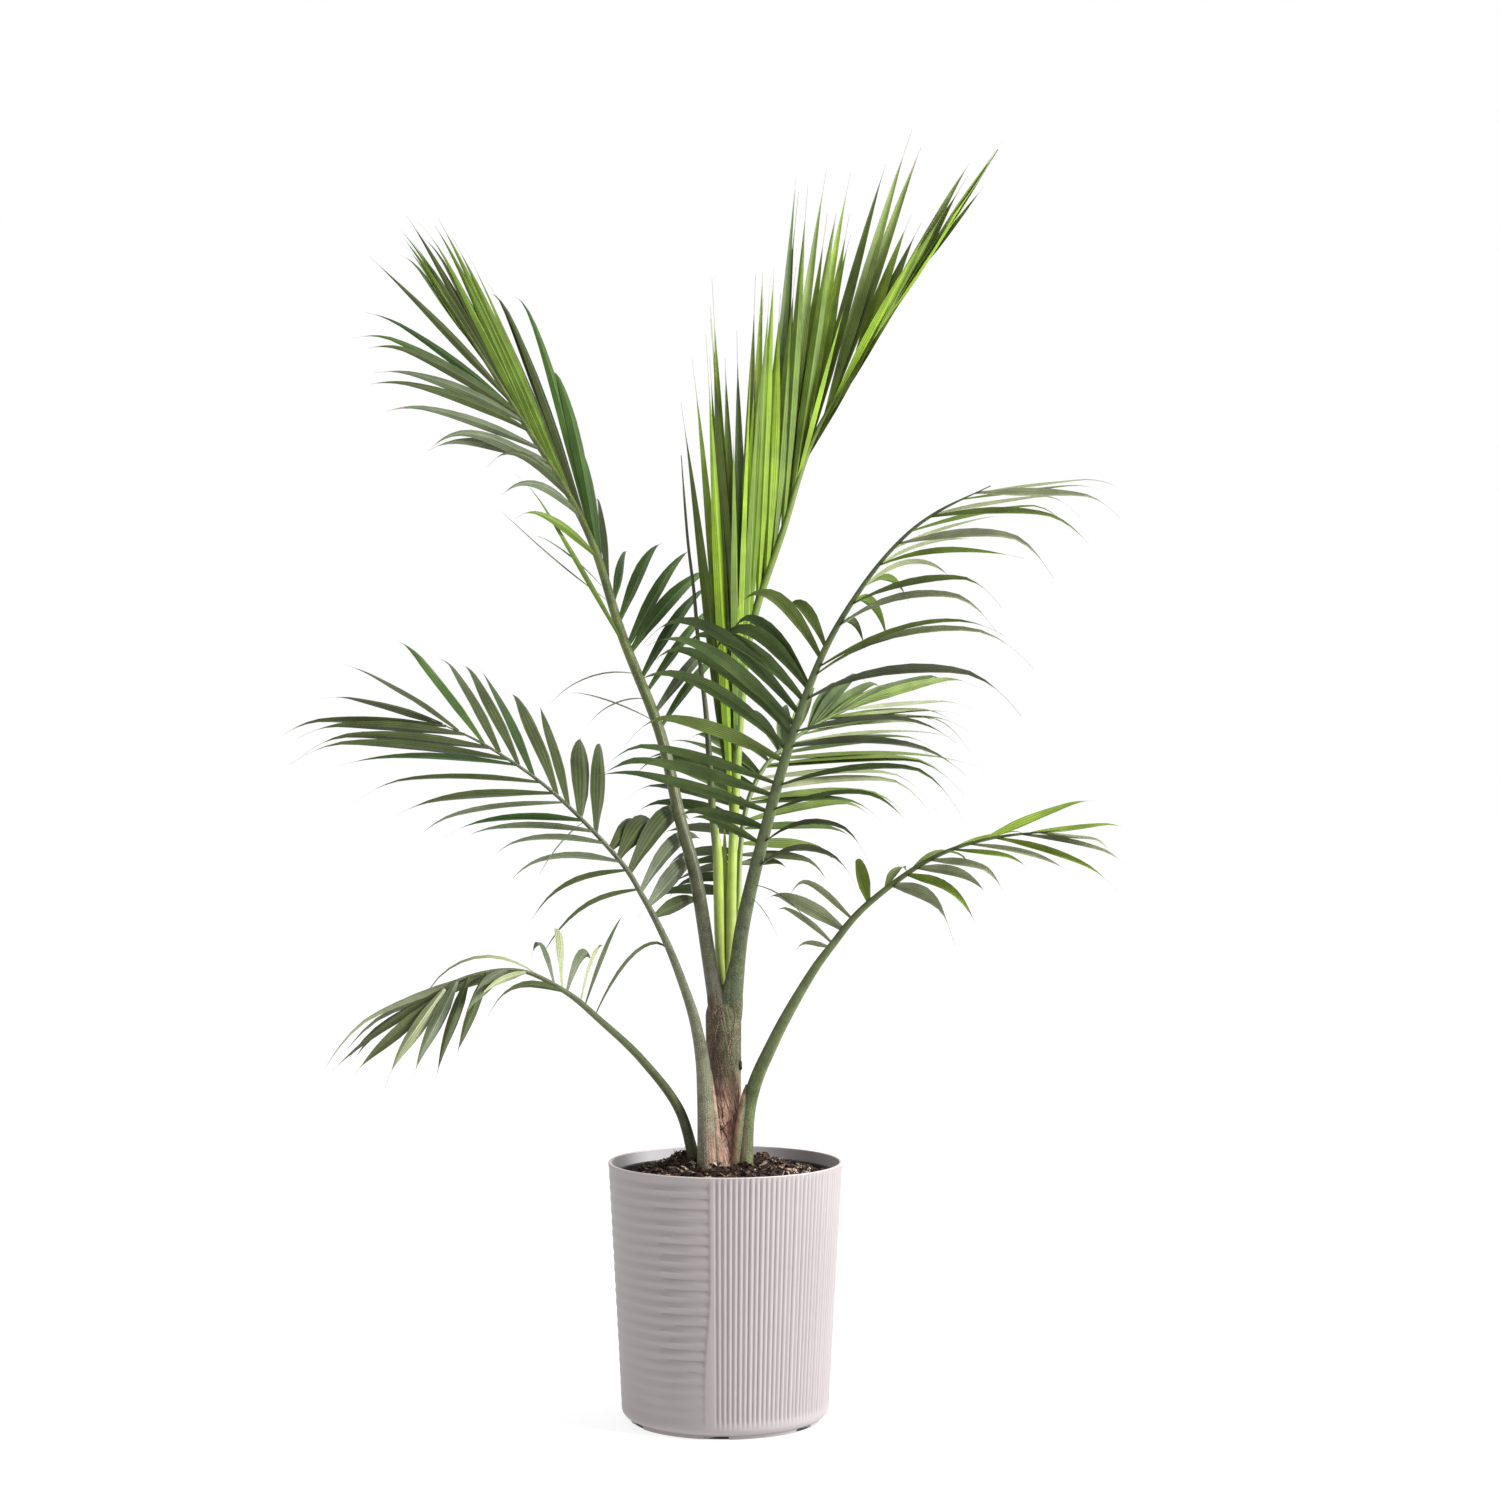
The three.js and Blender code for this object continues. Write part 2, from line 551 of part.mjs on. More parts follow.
function makePlanter() {
  const slope = (POT_TOP_RADIUS - POT_LOW_RADIUS) / (POT_HEIGHT - POT_LOW_HEIGHT);
  const lipRadius = POT_TOP_RADIUS - POT_LIP * slope;
  const innerTop = POT_TOP_RADIUS - POT_WALL;
  const innerLow = POT_LOW_RADIUS - POT_WALL;
  let planter = toSolid(turned([
    [0, 0], [POT_FOOT_RADIUS, 0], [POT_FOOT_RADIUS, 4], [POT_CHAMFER_RADIUS, POT_CHAMFER_HEIGHT],
    [POT_LOW_RADIUS - 1.2, POT_LOW_HEIGHT - 4], [POT_LOW_RADIUS, POT_LOW_HEIGHT],
    [lipRadius, POT_HEIGHT - POT_LIP], [POT_TOP_RADIUS - POT_LIP, POT_HEIGHT],
    [innerTop + POT_LIP, POT_HEIGHT], [innerTop, POT_HEIGHT - POT_LIP],
    [innerLow, POT_LOW_HEIGHT + 2], [innerLow - 5, POT_FLOOR], [0, POT_FLOOR],
  ]));
  for (let i = 0; i < NOTCH_COUNT; i += 1) {
    const block = new THREE.BoxGeometry(NOTCH_DEPTH * 2, NOTCH_WIDTH, NOTCH_HEIGHT * 2);
    block.translate(POT_FOOT_RADIUS, 0, 0);
    block.rotateZ(THREE.MathUtils.degToRad(NOTCH_TURN + (360 * i) / NOTCH_COUNT));
    planter = planter.subtract(toSolid(block));
  }
  return planter;
}

// Inner radius of the grower's pot at a height
function linerInside(height) {
  const share = (height - POT_FLOOR) / (LINER_TOP - POT_FLOOR);
  return LINER_LOW_RADIUS + (LINER_TOP_RADIUS - LINER_LOW_RADIUS) * share - LINER_WALL;
}

function makeLiner() {
  const foot = POT_FLOOR + GAP;
  const floor = foot + LINER_WALL;
  const neck = LINER_TOP - LINER_LIP_HEIGHT;
  return toSolid(turned([
    [0, foot], [LINER_LOW_RADIUS, foot], [linerInside(neck) + LINER_WALL, neck],
    [LINER_LIP_RADIUS, neck], [LINER_LIP_RADIUS, LINER_TOP], [linerInside(LINER_TOP), LINER_TOP],
    [linerInside(floor), floor], [0, floor],
  ]));
}

// The mix is flat round the stem and uneven further out
function makeSoil() {
  const foot = POT_FLOOR + GAP + LINER_WALL + GAP;
  const edge = linerInside(SOIL_EDGE) - GAP - 0.2;
  const profile = [[0, foot], [linerInside(foot) - GAP - 0.2, foot], [edge, SOIL_EDGE]];
  for (let i = 1; i <= SOIL_RINGS; i += 1) {
    const share = i / SOIL_RINGS;
    profile.push([edge + (SOIL_FLAT_RADIUS - edge) * share, SOIL_EDGE + (SOIL_TOP - SOIL_EDGE) * share]);
  }
  profile.push([0, SOIL_TOP]);
  const geometry = turned(profile);
  const position = geometry.attributes.position;
  for (let i = 0; i < position.count; i += 1) {
    const x = position.getX(i);
    const y = position.getY(i);
    const radius = Math.hypot(x, y);
    const inside = Math.min(1, (radius - SOIL_FLAT_RADIUS) / 15, (edge - radius) / 12);
    if (position.getZ(i) > SOIL_EDGE && inside > 0) {
      const wave = Math.sin(x / SOIL_WAVE_LENGTH + 1) * Math.cos(y / SOIL_WAVE_LENGTH);
      position.setZ(i, position.getZ(i) + SOIL_WAVE * wave * inside);
    }
  }
  return toSolid(geometry);
}

const palm = new THREE.Group();

function addNode(name, solid, colour, roughness) {
  const material = new THREE.MeshStandardMaterial({ color: colour, roughness, metalness: 0 });
  const mesh = new THREE.Mesh(toGeometry(solid), material);
  mesh.name = name;
  palm.add(mesh);
  return solid;
}

addNode('planter', makePlanter(), COLOURS.planter, 0.5);
addNode('liner', makeLiner(), COLOURS.liner, 0.6);
addNode('soil', makeSoil(), COLOURS.soil, 0.95);
addNode('stem', makeStem(), COLOURS.stem, 0.85);

const spearRib = new Rib(rooted(SPEAR.rib));
const spearFoot = SPEAR.foot + GAP;
const spear = rod(
  spearRib, SPEAR.radius, ROOT_LENGTH, spearRib.length, BLADE_RIB_SIDES, BLADE_RIB_STEP, spearFoot,
);
const limbs = [addNode('spear', spear, COLOURS.spear, 0.6)];

// Bare stalks come first, so that every leaflet can keep clear of all of them
const stalks = FRONDS.map((frond) => {
  const rib = new Rib(rooted(frond.rib));
  const end = frond.split * rib.length;
  const foot = frond.foot + GAP;
  const stalk = rod(rib, frond.radius, ROOT_LENGTH, end, STALK_SIDES, STALK_STEP, foot);
  addNode(`stalk_${frond.name}`, stalk, COLOURS.stalk, 0.6);
  const bladeRib = rod(rib, frond.radius, end + GAP, rib.length, BLADE_RIB_SIDES, BLADE_RIB_STEP);
  return { frond, rib, stalk, bladeRib };
});

const finished = [];
stalks.forEach((entry, index) => {
  const { frond, rib, bladeRib } = entry;
  const otherRibs = stalks.filter((_, i) => i > index).map((later) => later.bladeRib);
  const others = [...limbs, ...stalks.map((any) => any.stalk), ...otherRibs, ...finished];
  const leaves = leafletsOfSide(frond, rib, 'back', 1, others);
  leaves.push(...leafletsOfSide(frond, rib, 'front', -1, others));
  const blade = mainBody(wasm.Manifold.union([bladeRib, ...leaves]));
  const colour = frond.name === 'top' ? COLOURS.young : COLOURS.leaf;
  finished.push(addNode(`frond_${frond.name}`, blade, colour, 0.55));
});

export default palm;
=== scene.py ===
# %% [markdown]
# # A young majesty palm in a white planter
# This lesson dresses a feather palm that stands in a round planter. The shapes that physics uses
# come from a CAD model, and every visible piece here is made to fit it. All sizes are in metres,
# +Z is up, and the viewer stands on the -Y side.
#
# The first cell loads the CAD model as a fixed frame. Its nodes are never moved: a piece that
# stands for a node hides it and keeps to the same place.

# %% Load the frame
import math
import random
from collections import namedtuple

import bmesh
import bpy
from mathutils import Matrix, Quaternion, Vector, noise


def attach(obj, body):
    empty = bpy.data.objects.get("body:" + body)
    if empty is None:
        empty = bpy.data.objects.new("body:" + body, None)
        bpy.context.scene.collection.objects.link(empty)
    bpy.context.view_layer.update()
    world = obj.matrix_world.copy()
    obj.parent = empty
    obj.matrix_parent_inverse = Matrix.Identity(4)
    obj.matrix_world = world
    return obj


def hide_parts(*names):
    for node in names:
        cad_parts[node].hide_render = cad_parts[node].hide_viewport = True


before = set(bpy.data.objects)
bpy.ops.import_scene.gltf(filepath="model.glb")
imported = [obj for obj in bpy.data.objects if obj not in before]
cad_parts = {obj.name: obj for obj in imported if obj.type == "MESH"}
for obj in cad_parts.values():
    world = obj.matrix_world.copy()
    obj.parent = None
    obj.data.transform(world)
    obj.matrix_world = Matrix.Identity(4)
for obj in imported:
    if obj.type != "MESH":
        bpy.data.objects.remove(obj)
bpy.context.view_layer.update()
MM = 0.001
TURN = 2 * math.pi
UP = Vector((0, 0, 1))

# %% [markdown]
# ## Camera
# The photograph was taken level, from the height of a table and a little over three metres away.
# The ellipses of the rim and the foot give the height, and the planter's width gives the distance.
# A long lens keeps the fronds from bending outwards at the edges. The camera comes first, so every
# later choice can be judged through it.

# %% Place the camera
CAMERA_PLACE = (0.0268, -3.2, 0.7247)
LENS = 70.75
SENSOR_WIDTH = 36

camera_data = bpy.data.cameras.new("camera")
camera_data.lens = LENS
camera_data.sensor_width = SENSOR_WIDTH
camera = bpy.data.objects.new("camera", camera_data)
bpy.context.scene.collection.objects.link(camera)
camera.location = CAMERA_PLACE
camera.rotation_euler = (math.radians(90), 0, 0)
bpy.context.scene.camera = camera
print("camera at", CAMERA_PLACE, "with a lens of", LENS, "mm")

# %% [markdown]
# ## Small helpers
# Operators act on whatever is selected, and loading the frame leaves its nodes selected. So each
# new piece starts from an empty selection. When a piece is finished its place is baked into its
# mesh, which leaves the object at the origin: patterns that read object coordinates then stay put.

# %% Helpers for making pieces
# The least rise of an edge that is cut into rows
TALL = 0.1


def start_clean():
    """Deselects everything, so that the next operator touches only the new piece."""
    bpy.ops.object.select_all(action="DESELECT")


def finish_piece(piece, name, materials, replaced=None, smooth=None):
    """Names a piece, bakes its place, and tells the frame what it rides on and stands for."""
    for material in materials:
        piece.data.materials.append(material)
    start_clean()
    piece.select_set(True)
    bpy.context.view_layer.objects.active = piece
    bpy.ops.object.transform_apply(location=True, rotation=True, scale=True)
    if smooth is not None:
        bpy.ops.object.shade_smooth_by_angle(angle=math.radians(smooth))
    piece.name = piece.data.name = name
    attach(piece, "root")
    if replaced:
        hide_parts(replaced)
    piece.select_set(False)
    print(name, "has", len(piece.data.polygons), "faces")


def cut_rows(piece, rows, reach=0.0):
    """Cuts the tall edges beyond a radius into rows, which cuts the faces between them too."""
    bpy.ops.object.mode_set(mode="EDIT")
    bpy.ops.mesh.select_mode(type="EDGE")
    bpy.ops.mesh.select_all(action="DESELECT")
    edit_mesh = bmesh.from_edit_mesh(piece.data)
    for edge in edit_mesh.edges:
        low, high = edge.verts[0].co, edge.verts[1].co
        middle = (low + high) / 2
        edge.select = abs(high.z - low.z) > TALL and math.hypot(middle.x, middle.y) > reach
    bmesh.update_edit_mesh(piece.data)
    bpy.ops.mesh.subdivide(number_cuts=rows)
    bpy.ops.object.mode_set(mode="OBJECT")
    print("faces after the rows are cut:", len(piece.data.polygons))

# %% Helpers for shapes
def push_out(piece, offset):
    """Moves each vertex away from the Z axis by offset(angle, height, radius), all in metres."""
    for vertex in piece.data.vertices:
        x, y, z = vertex.co
        radius = math.hypot(x, y)
        if radius > 1e-6:
            share = 1 + offset(math.atan2(x, -y), z, radius) / radius
            vertex.co = (x * share, y * share, z)


def along(values, u):
    """The value at share u of a list whose entries are evenly spaced."""
    place = min(max(u, 0) * (len(values) - 1), len(values) - 1 - 1e-9)
    index = int(place)
    return values[index] + (values[index + 1] - values[index]) * (place - index)


def ease(low, high, value):
    """A smooth step from 0 at low to 1 at high."""
    share = min(1, max(0, (value - low) / (high - low)))
    return share * share * (3 - 2 * share)

# %% [markdown]
# ## Studio
# The plant stands on a plain white floor. A large soft lamp at the right shapes the planter and
# the stalks, and a weak one at the left keeps the shaded leaflets readable. Nothing is coloured,
# so the greens stay true. The sky and the floor's paper follow once their nodes can be built.

# %% Floor and lamps
start_clean()
bpy.ops.mesh.primitive_plane_add(size=60, location=(0, 0, -0.0004))
floor = bpy.context.object
floor.name = "floor"
bpy.context.scene.view_settings.view_transform = "Standard"
# Each lamp: its place, the point it looks at, its size and its power in watts
LAMPS = {
    "lamp_right": ((2.7, -1.1, 1.9), (0, 0, 0.5), 1.3, 178),
    "lamp_left": ((-2.2, -2.2, 1.8), (0, 0, 1.0), 1.6, 8),
}
for name, (place, aim, size, power) in LAMPS.items():
    data = bpy.data.lights.new(name, "AREA")
    data.size = size
    data.energy = power
    lamp = bpy.data.objects.new(name, data)
    bpy.context.scene.collection.objects.link(lamp)
    lamp.location = place
    lamp.rotation_euler = (Vector(aim) - Vector(place)).to_track_quat("-Z", "Y").to_euler()
print("lamps:", list(LAMPS))

# %% [markdown]
# ## Building materials from nodes
# A material is a small graph. A few helpers keep the cells short: each adds a node, feeds its
# sockets with plain values or with other nodes' outputs, and hands on its own output. The finish
# itself, the Principled shader, always stays in the material, while effects that several finishes
# share live in node groups.

# %% Helpers for materials
def feed(tree, socket, value):
    """Sets a socket to a plain value or a colour, or links it to an output (node, its name)."""
    if isinstance(value, tuple) and isinstance(value[0], bpy.types.Node):
        tree.links.new(value[0].outputs[value[1]], socket)
    elif socket.type == "RGBA":
        socket.default_value = (*value, 1.0)
    else:
        socket.default_value = value


def add_node(tree, kind, **values):
    """Adds a node. A name that is a socket feeds that socket, and any other sets a property."""
    node = tree.nodes.new(kind)
    for key, value in values.items():
        label = key.replace("_", " ").lower()
        found = [socket for socket in node.inputs if socket.name.lower() == label]
        if found:
            feed(tree, found[0], value)
        else:
            setattr(node, key, value)
    return node


def use_group(tree, group, **values):
    return add_node(tree, "ShaderNodeGroup", node_tree=group, **values)


def calc(tree, operation, *values, **settings):
    """A sum on outputs or plain numbers."""
    node = add_node(tree, "ShaderNodeMath", operation=operation, **settings)
    for socket, value in zip(node.inputs, values):
        feed(tree, socket, value)
    return node, 0


def scaled(tree, value, factor, shift=0.0):
    """A value times a factor plus a shift, kept between 0 and 1."""
    return calc(tree, "MULTIPLY_ADD", value, factor, shift, use_clamp=True)


def remap(tree, value, low, high, to_low=0.0, to_high=1.0, curve="LINEAR"):
    """Runs from to_low to to_high while a value goes from low to high."""
    return add_node(tree, "ShaderNodeMapRange", interpolation_type=curve, Value=value,
                    From_Min=low, From_Max=high, To_Min=to_low, To_Max=to_high), 0


def graded(tree, value, low, high):
    return remap(tree, value, low, high, curve="SMOOTHSTEP")

# %% Helpers for colours and materials
def blended(tree, share, first, second):
    """A colour between two, by a share."""
    node = add_node(tree, "ShaderNodeMix", data_type="RGBA")
    for number, value in ((0, share), (6, first), (7, second)):
        feed(tree, node.inputs[number], value)
    return node, 2


def tinted(colour, factor, lift=0.0):
    return tuple(min(1, value * factor + lift) for value in colour)


def new_material(name, roughness, specular):
    """A material with its tree, its object coordinates and its UV coordinates."""
    material = bpy.data.materials.new(name)
    material.use_nodes = True
    tree = material.node_tree
    shader = tree.nodes["Principled BSDF"]
    shader.inputs["Roughness"].default_value = roughness
    shader.inputs["Specular IOR Level"].default_value = specular
    place = add_node(tree, "ShaderNodeTexCoord")
    return material, tree, (place, "Object"), (place, "UV")


def coat(tree, height=None, strength=0.0, depth=0.0, **values):
    """Feeds the shader's sockets by name, and its normal from a height of a given depth."""
    if height:
        bump = add_node(tree, "ShaderNodeBump", Height=height, Strength=strength, Distance=depth)
        values["Normal"] = (bump, 0)
    for key, value in values.items():
        feed(tree, tree.nodes["Principled BSDF"].inputs[key.replace("_", " ")], value)

# %% Helpers for node groups
def new_group(name, **inputs):
    """An empty node group and its inputs. One with no value is a vector."""
    kinds = {type(None): "Vector", float: "Float", tuple: "Color"}
    group = bpy.data.node_groups.new(name, "ShaderNodeTree")
    for key, value in inputs.items():
        socket = group.interface.new_socket(key.replace("_", " "), in_out="INPUT",
                                            socket_type="NodeSocket" + kinds[type(value)])
        if value is not None:
            socket.default_value = value
    start = group.nodes.new("NodeGroupInput")
    return group, [(start, number) for number in range(len(inputs))]


def end_group(group, **outputs):
    """Names a group's outputs and links them."""
    for key in outputs:
        kind = "NodeSocketColor" if key == "Colour" else "NodeSocketFloat"
        group.interface.new_socket(key, in_out="OUTPUT", socket_type=kind)
    add_node(group, "NodeGroupOutput", **outputs)
    print(group.name, "group:", len(group.nodes), "nodes")

# %% [markdown]
# ## Shared effects
# Living and moulded surfaces are never one flat colour. **Mottle** drifts between two colours in
# soft patches. **Scurf** scatters small pale or dark specks, as on palm stalks and potting mix.
# **Veins** draws the fine lines that run along a leaflet, and its middle fold. **Strands** lays
# long crossing fibres, as on old leaf sheaths.

# %% The mottle and scurf groups
mottle, (spot, scale, contrast, dark, light) = new_group(
    "mottle", Vector=None, Scale=30.0, Contrast=0.5, Colour_A=(0.1, 0.1, 0.1, 1.0),
    Colour_B=(0.2, 0.2, 0.2, 1.0))
patches = add_node(mottle, "ShaderNodeTexNoise", Vector=spot, Scale=scale, Detail=4.0,
                   Roughness=0.6)
softness = calc(mottle, "SUBTRACT", 1.2, contrast)
ends = [calc(mottle, "MULTIPLY_ADD", softness, factor, 0.5) for factor in (-0.25, 0.25)]
mask = remap(mottle, (patches, "Fac"), *ends)
end_group(mottle, Colour=blended(mottle, mask, dark, light), Mask=mask)

scurf, (spot, scale, amount) = new_group("scurf", Vector=None, Scale=900.0, Amount=0.35)
specks = add_node(scurf, "ShaderNodeTexVoronoi", Vector=spot, Scale=scale)
patchy = add_node(scurf, "ShaderNodeTexNoise", Vector=spot,
                  Scale=calc(scurf, "MULTIPLY", scale, 0.12), Detail=3.0)
limit = calc(scurf, "MULTIPLY", (patchy, "Fac"), amount)
end_group(scurf, Mask=calc(scurf, "LESS_THAN", (specks, "Distance"), limit))

# %% The veins and strands groups
veins, (spot, count) = new_group("veins", Vector=None, Count=14.0)
across = (add_node(veins, "ShaderNodeSeparateXYZ", Vector=spot), 0)
wave = calc(veins, "SINE", calc(veins, "MULTIPLY", across, calc(veins, "MULTIPLY", count, TURN)))
from_fold = calc(veins, "ABSOLUTE", calc(veins, "SUBTRACT", across, 0.5))
end_group(veins, Lines=calc(veins, "MULTIPLY_ADD", wave, 0.5, 0.5),
          Fold=remap(veins, from_fold, 0.075, 0.02))

strands, (spot, slant, scale) = new_group("strands", Vector=None, Slant=0.35, Scale=260.0)
parts = add_node(strands, "ShaderNodeSeparateXYZ", Vector=spot)
leaning = calc(strands, "ADD", (parts, 0), calc(strands, "MULTIPLY", (parts, 2), slant))
drawn_out = add_node(strands, "ShaderNodeCombineXYZ", X=leaning, Y=(parts, 1),
                     Z=calc(strands, "MULTIPLY", (parts, 2), 0.06))
threads = add_node(strands, "ShaderNodeTexNoise", Vector=(drawn_out, 0), Scale=scale,
                   Detail=3.0, Roughness=0.55, Distortion=0.4)
end_group(strands, Mask=remap(strands, (threads, "Fac"), 0.42, 0.62))


def mottled(tree, spot, scale, contrast, dark, light):
    """Patches of two colours."""
    return use_group(tree, mottle, Vector=spot, Scale=scale, Contrast=contrast, Colour_A=dark,
                     Colour_B=light), 0


def speckled(tree, spot, scale, amount):
    return use_group(tree, scurf, Vector=spot, Scale=scale, Amount=amount), 0


def threaded(tree, spot, colour, slant, scale, factor, shift):
    """Draws dark fibres over a colour, and hands on their mask too."""
    mask = (use_group(tree, strands, Vector=spot, Slant=slant, Scale=scale), 0)
    return blended(tree, scaled(tree, mask, factor, shift), colour, (0.075, 0.036, 0.028)), mask

# %% [markdown]
# ## The studio's sky
# In a photo studio most of the soft light comes from a bright wall behind the plant and from
# above, while the side of the camera is darker. That is what gives leaves and stalks their shape.
# So the sky's strength follows its direction. To the camera itself it is plain white all round.

# %% A sky that is brighter behind, above and at the right
# For each axis: where the strength starts and stops growing, and from what to what
SKY_SPREAD = {"X": (-0.9, 0.9, 0.42, 1.16), "Y": (-0.7, 0.6, 0.46, 1.05),
              "Z": (-0.1, 0.9, 0.80, 1.36)}
sky = bpy.data.worlds.new("sky")
sky.use_nodes = True
bpy.context.scene.world = sky
tree = sky.node_tree
towards = add_node(tree, "ShaderNodeTexCoord")
parts = add_node(tree, "ShaderNodeSeparateXYZ", Vector=(towards, "Generated"))
strength = 1.0
for axis, spread in SKY_SPREAD.items():
    share = remap(tree, (parts, axis), *spread, "SMOOTHSTEP")
    strength = calc(tree, "MULTIPLY", share, strength)
rays = add_node(tree, "ShaderNodeLightPath")
seen = add_node(tree, "ShaderNodeMix", data_type="FLOAT")
for number, value in ((0, (rays, "Is Camera Ray")), (2, strength), (3, 1.0)):
    feed(tree, seen.inputs[number], value)
background = tree.nodes["Background"]
feed(tree, background.inputs["Strength"], (seen, 0))
feed(tree, background.inputs["Color"], (1, 0.998, 1))
print("sky nodes:", len(tree.nodes))

# %% [markdown]
# ## The studio floor's paper
# The floor is white paper that glows a little, as paper does on a lit table. It melts into the
# white sky and keeps only a faint soft shadow where the planter stands.

# %% White paper for the floor
floor_material, tree, spot, _ = new_material("floor_white", 0.6, 0.0)
paper = mottled(tree, spot, 0.8, 0.1, (0.34, 0.34, 0.34), (0.36, 0.36, 0.36))
coat(tree, Base_Color=paper, Emission_Color=(1, 1, 1), Emission_Strength=0.79)
floor.data.materials.append(floor_material)
print("floor finish:", floor_material.name)

# %% [markdown]
# ## The planter's finish
# The planter is moulded in a matt white plastic with a slight lilac cast. Its colour drifts very
# little, but a mould leaves a fine skin, so the roughness and a faint bump vary. The inside is the
# same plastic, a shade greyer because less light and more dust reach it. The lip is painted much
# paler, a painted highlight for the light that catches its rounded edge.

# %% Planter plastic, outside and inside
def plastic_material(name, light, dark, roughness):
    material, tree, spot, _ = new_material(name, roughness, 0.4)
    tone = mottled(tree, spot, 9.0, 0.2, dark, light)
    skin = add_node(tree, "ShaderNodeTexNoise", Vector=spot, Scale=1400.0, Detail=2.0)
    sheen = remap(tree, (tone[0], "Mask"), 0.0, 1.0, roughness - 0.06, roughness + 0.06)
    coat(tree, (skin, "Fac"), 0.06, 0.0003, Base_Color=tone, Roughness=sheen)
    return material


# Each plastic: its light and dark tones and its roughness
PLASTICS = {
    "planter_outside": ((0.378, 0.340, 0.345), (0.350, 0.314, 0.319), 0.5),
    "planter_inside": ((0.375, 0.352, 0.365), (0.33, 0.31, 0.322), 0.6),
    # The lip's pale tones are a painted highlight where light catches the rounded edge
    "planter_lip_highlight": ((0.60, 0.53, 0.52), (0.54, 0.48, 0.47), 0.4),
    "liner_black": ((0.018, 0.019, 0.02), (0.009, 0.0095, 0.01), 0.5),
}
*planter_plastics, liner_black = [plastic_material(name, *values)
                                  for name, values in PLASTICS.items()]
print("plastics:", list(PLASTICS))

# %% [markdown]
# ## The planter
# The real planter is moulded in one piece: a tapering round wall, a rounded heel and a shallow
# foot. A disc is extruded up through the profile, as a potter raises a wall, and the wall is then
# cut into rows so that it has enough points for its relief.
#
# The relief itself follows a rule of the mould, so it is given by a formula. On the right are
# upright flutes with round backs and narrow grooves. On the left are soft level ripples, deepest
# where they meet the flutes. Both go inwards, so the planter keeps its outer size.

# %% Raise the planter's wall
POT_COLUMNS = 744
POT_WALL_ROWS = 70
# Tall edges beyond this radius belong to the outer wall and not to the inner one
OUTER_WALL_REACH = 0.1185
POT_OUTER = [(0.103, 0.0), (0.103, 0.004), (0.1045, 0.0045), (0.1092, 0.0068), (0.1114, 0.0098),
             (0.1123, 0.0127), (0.12696, 0.2777), (0.1262, 0.2785)]
POT_INNER = [(0.1243, 0.2785), (0.1235, 0.2777), (0.1088, 0.0147), (0.1038, 0.009), (0.06, 0.009)]


def new_disc(columns, radius, height):
    """A filled circle at a height, in edit mode and all selected."""
    start_clean()
    bpy.ops.mesh.primitive_circle_add(vertices=columns, radius=radius, fill_type="NGON",
                                      location=(0, 0, height))
    bpy.ops.object.transform_apply(location=True)
    bpy.ops.object.mode_set(mode="EDIT")
    bpy.ops.mesh.select_all(action="SELECT")
    return bpy.context.object


def raise_profile(columns, profile):
    """A disc that is extruded through a list of (radius, height) steps."""
    piece = new_disc(columns, *profile[0])
    for (radius, height), (next_radius, next_height) in zip(profile, profile[1:]):
        bpy.ops.mesh.extrude_region_move(
            TRANSFORM_OT_translate={"value": (0, 0, next_height - height)})
        ratio = next_radius / radius
        bpy.ops.transform.resize(value=(ratio, ratio, 1), center_override=(0, 0, next_height))
    bpy.ops.mesh.select_all(action="SELECT")
    bpy.ops.mesh.normals_make_consistent(inside=False)
    bpy.ops.object.mode_set(mode="OBJECT")
    return piece


planter = raise_profile(POT_COLUMNS, POT_OUTER + POT_INNER)
cut_rows(planter, POT_WALL_ROWS, OUTER_WALL_REACH)

# %% The rule of the flutes and the ripples
FLUTE_COUNT = 134
FLUTE_DEPTH = 1.8 * MM
RIPPLE_PITCH = 12.35 * MM
RIPPLE_DEPTH = 2.9 * MM
# Flutes run from the border at the front to well behind, and the relief between two heights
BORDER = math.radians(-6.1)
FLUTES_END = math.radians(196)
RELIEF_LOW, RELIEF_TOP = 0.0128, 0.2776
LIP_LOW = 0.2777
FLOOR_TOP = 0.0089
NOTCHES = [math.radians(-5 + 60 * k) for k in range(6)]
NOTCH_HALF = 0.0135
NOTCH_TOP = 0.0037


def is_inside(radius, height):
    """Whether a place lies on the inner face of the tapering wall."""
    return radius < 0.1092 + 0.0147 * (height - 0.012) / 0.265


def relief(angle, height, radius):
    """How far the outer wall stands out at an angle from the front, 0 being the mould's size."""
    if is_inside(radius, height) or not RELIEF_LOW < height < RELIEF_TOP:
        return 0.0
    turn = (angle - BORDER) % TURN
    ends = ease(RELIEF_LOW, 0.022, height) * ease(0.2774, 0.2735, height)
    if turn < FLUTES_END - BORDER:
        phase = angle / TURN * FLUTE_COUNT
        return -FLUTE_DEPTH * (1 - abs(math.cos(math.pi * phase))) * ends
    away = TURN - turn
    first = 0.008 + 0.06 * ease(0.17, 0.05, height)
    ends *= ease(first, first + 0.03, away)
    fade = (0.22 + 0.78 * ease(1.05, 0.2, away)) * (0.45 + 0.55 * ease(0.03, 0.09, height))
    drift = 0.12 * noise.noise((math.sin(angle) * 2.2, math.cos(angle) * 2.2, height * 14))
    wave = math.sin(TURN * (height / RIPPLE_PITCH + drift))
    return -RIPPLE_DEPTH * (0.5 - 0.5 * wave) * fade * ends

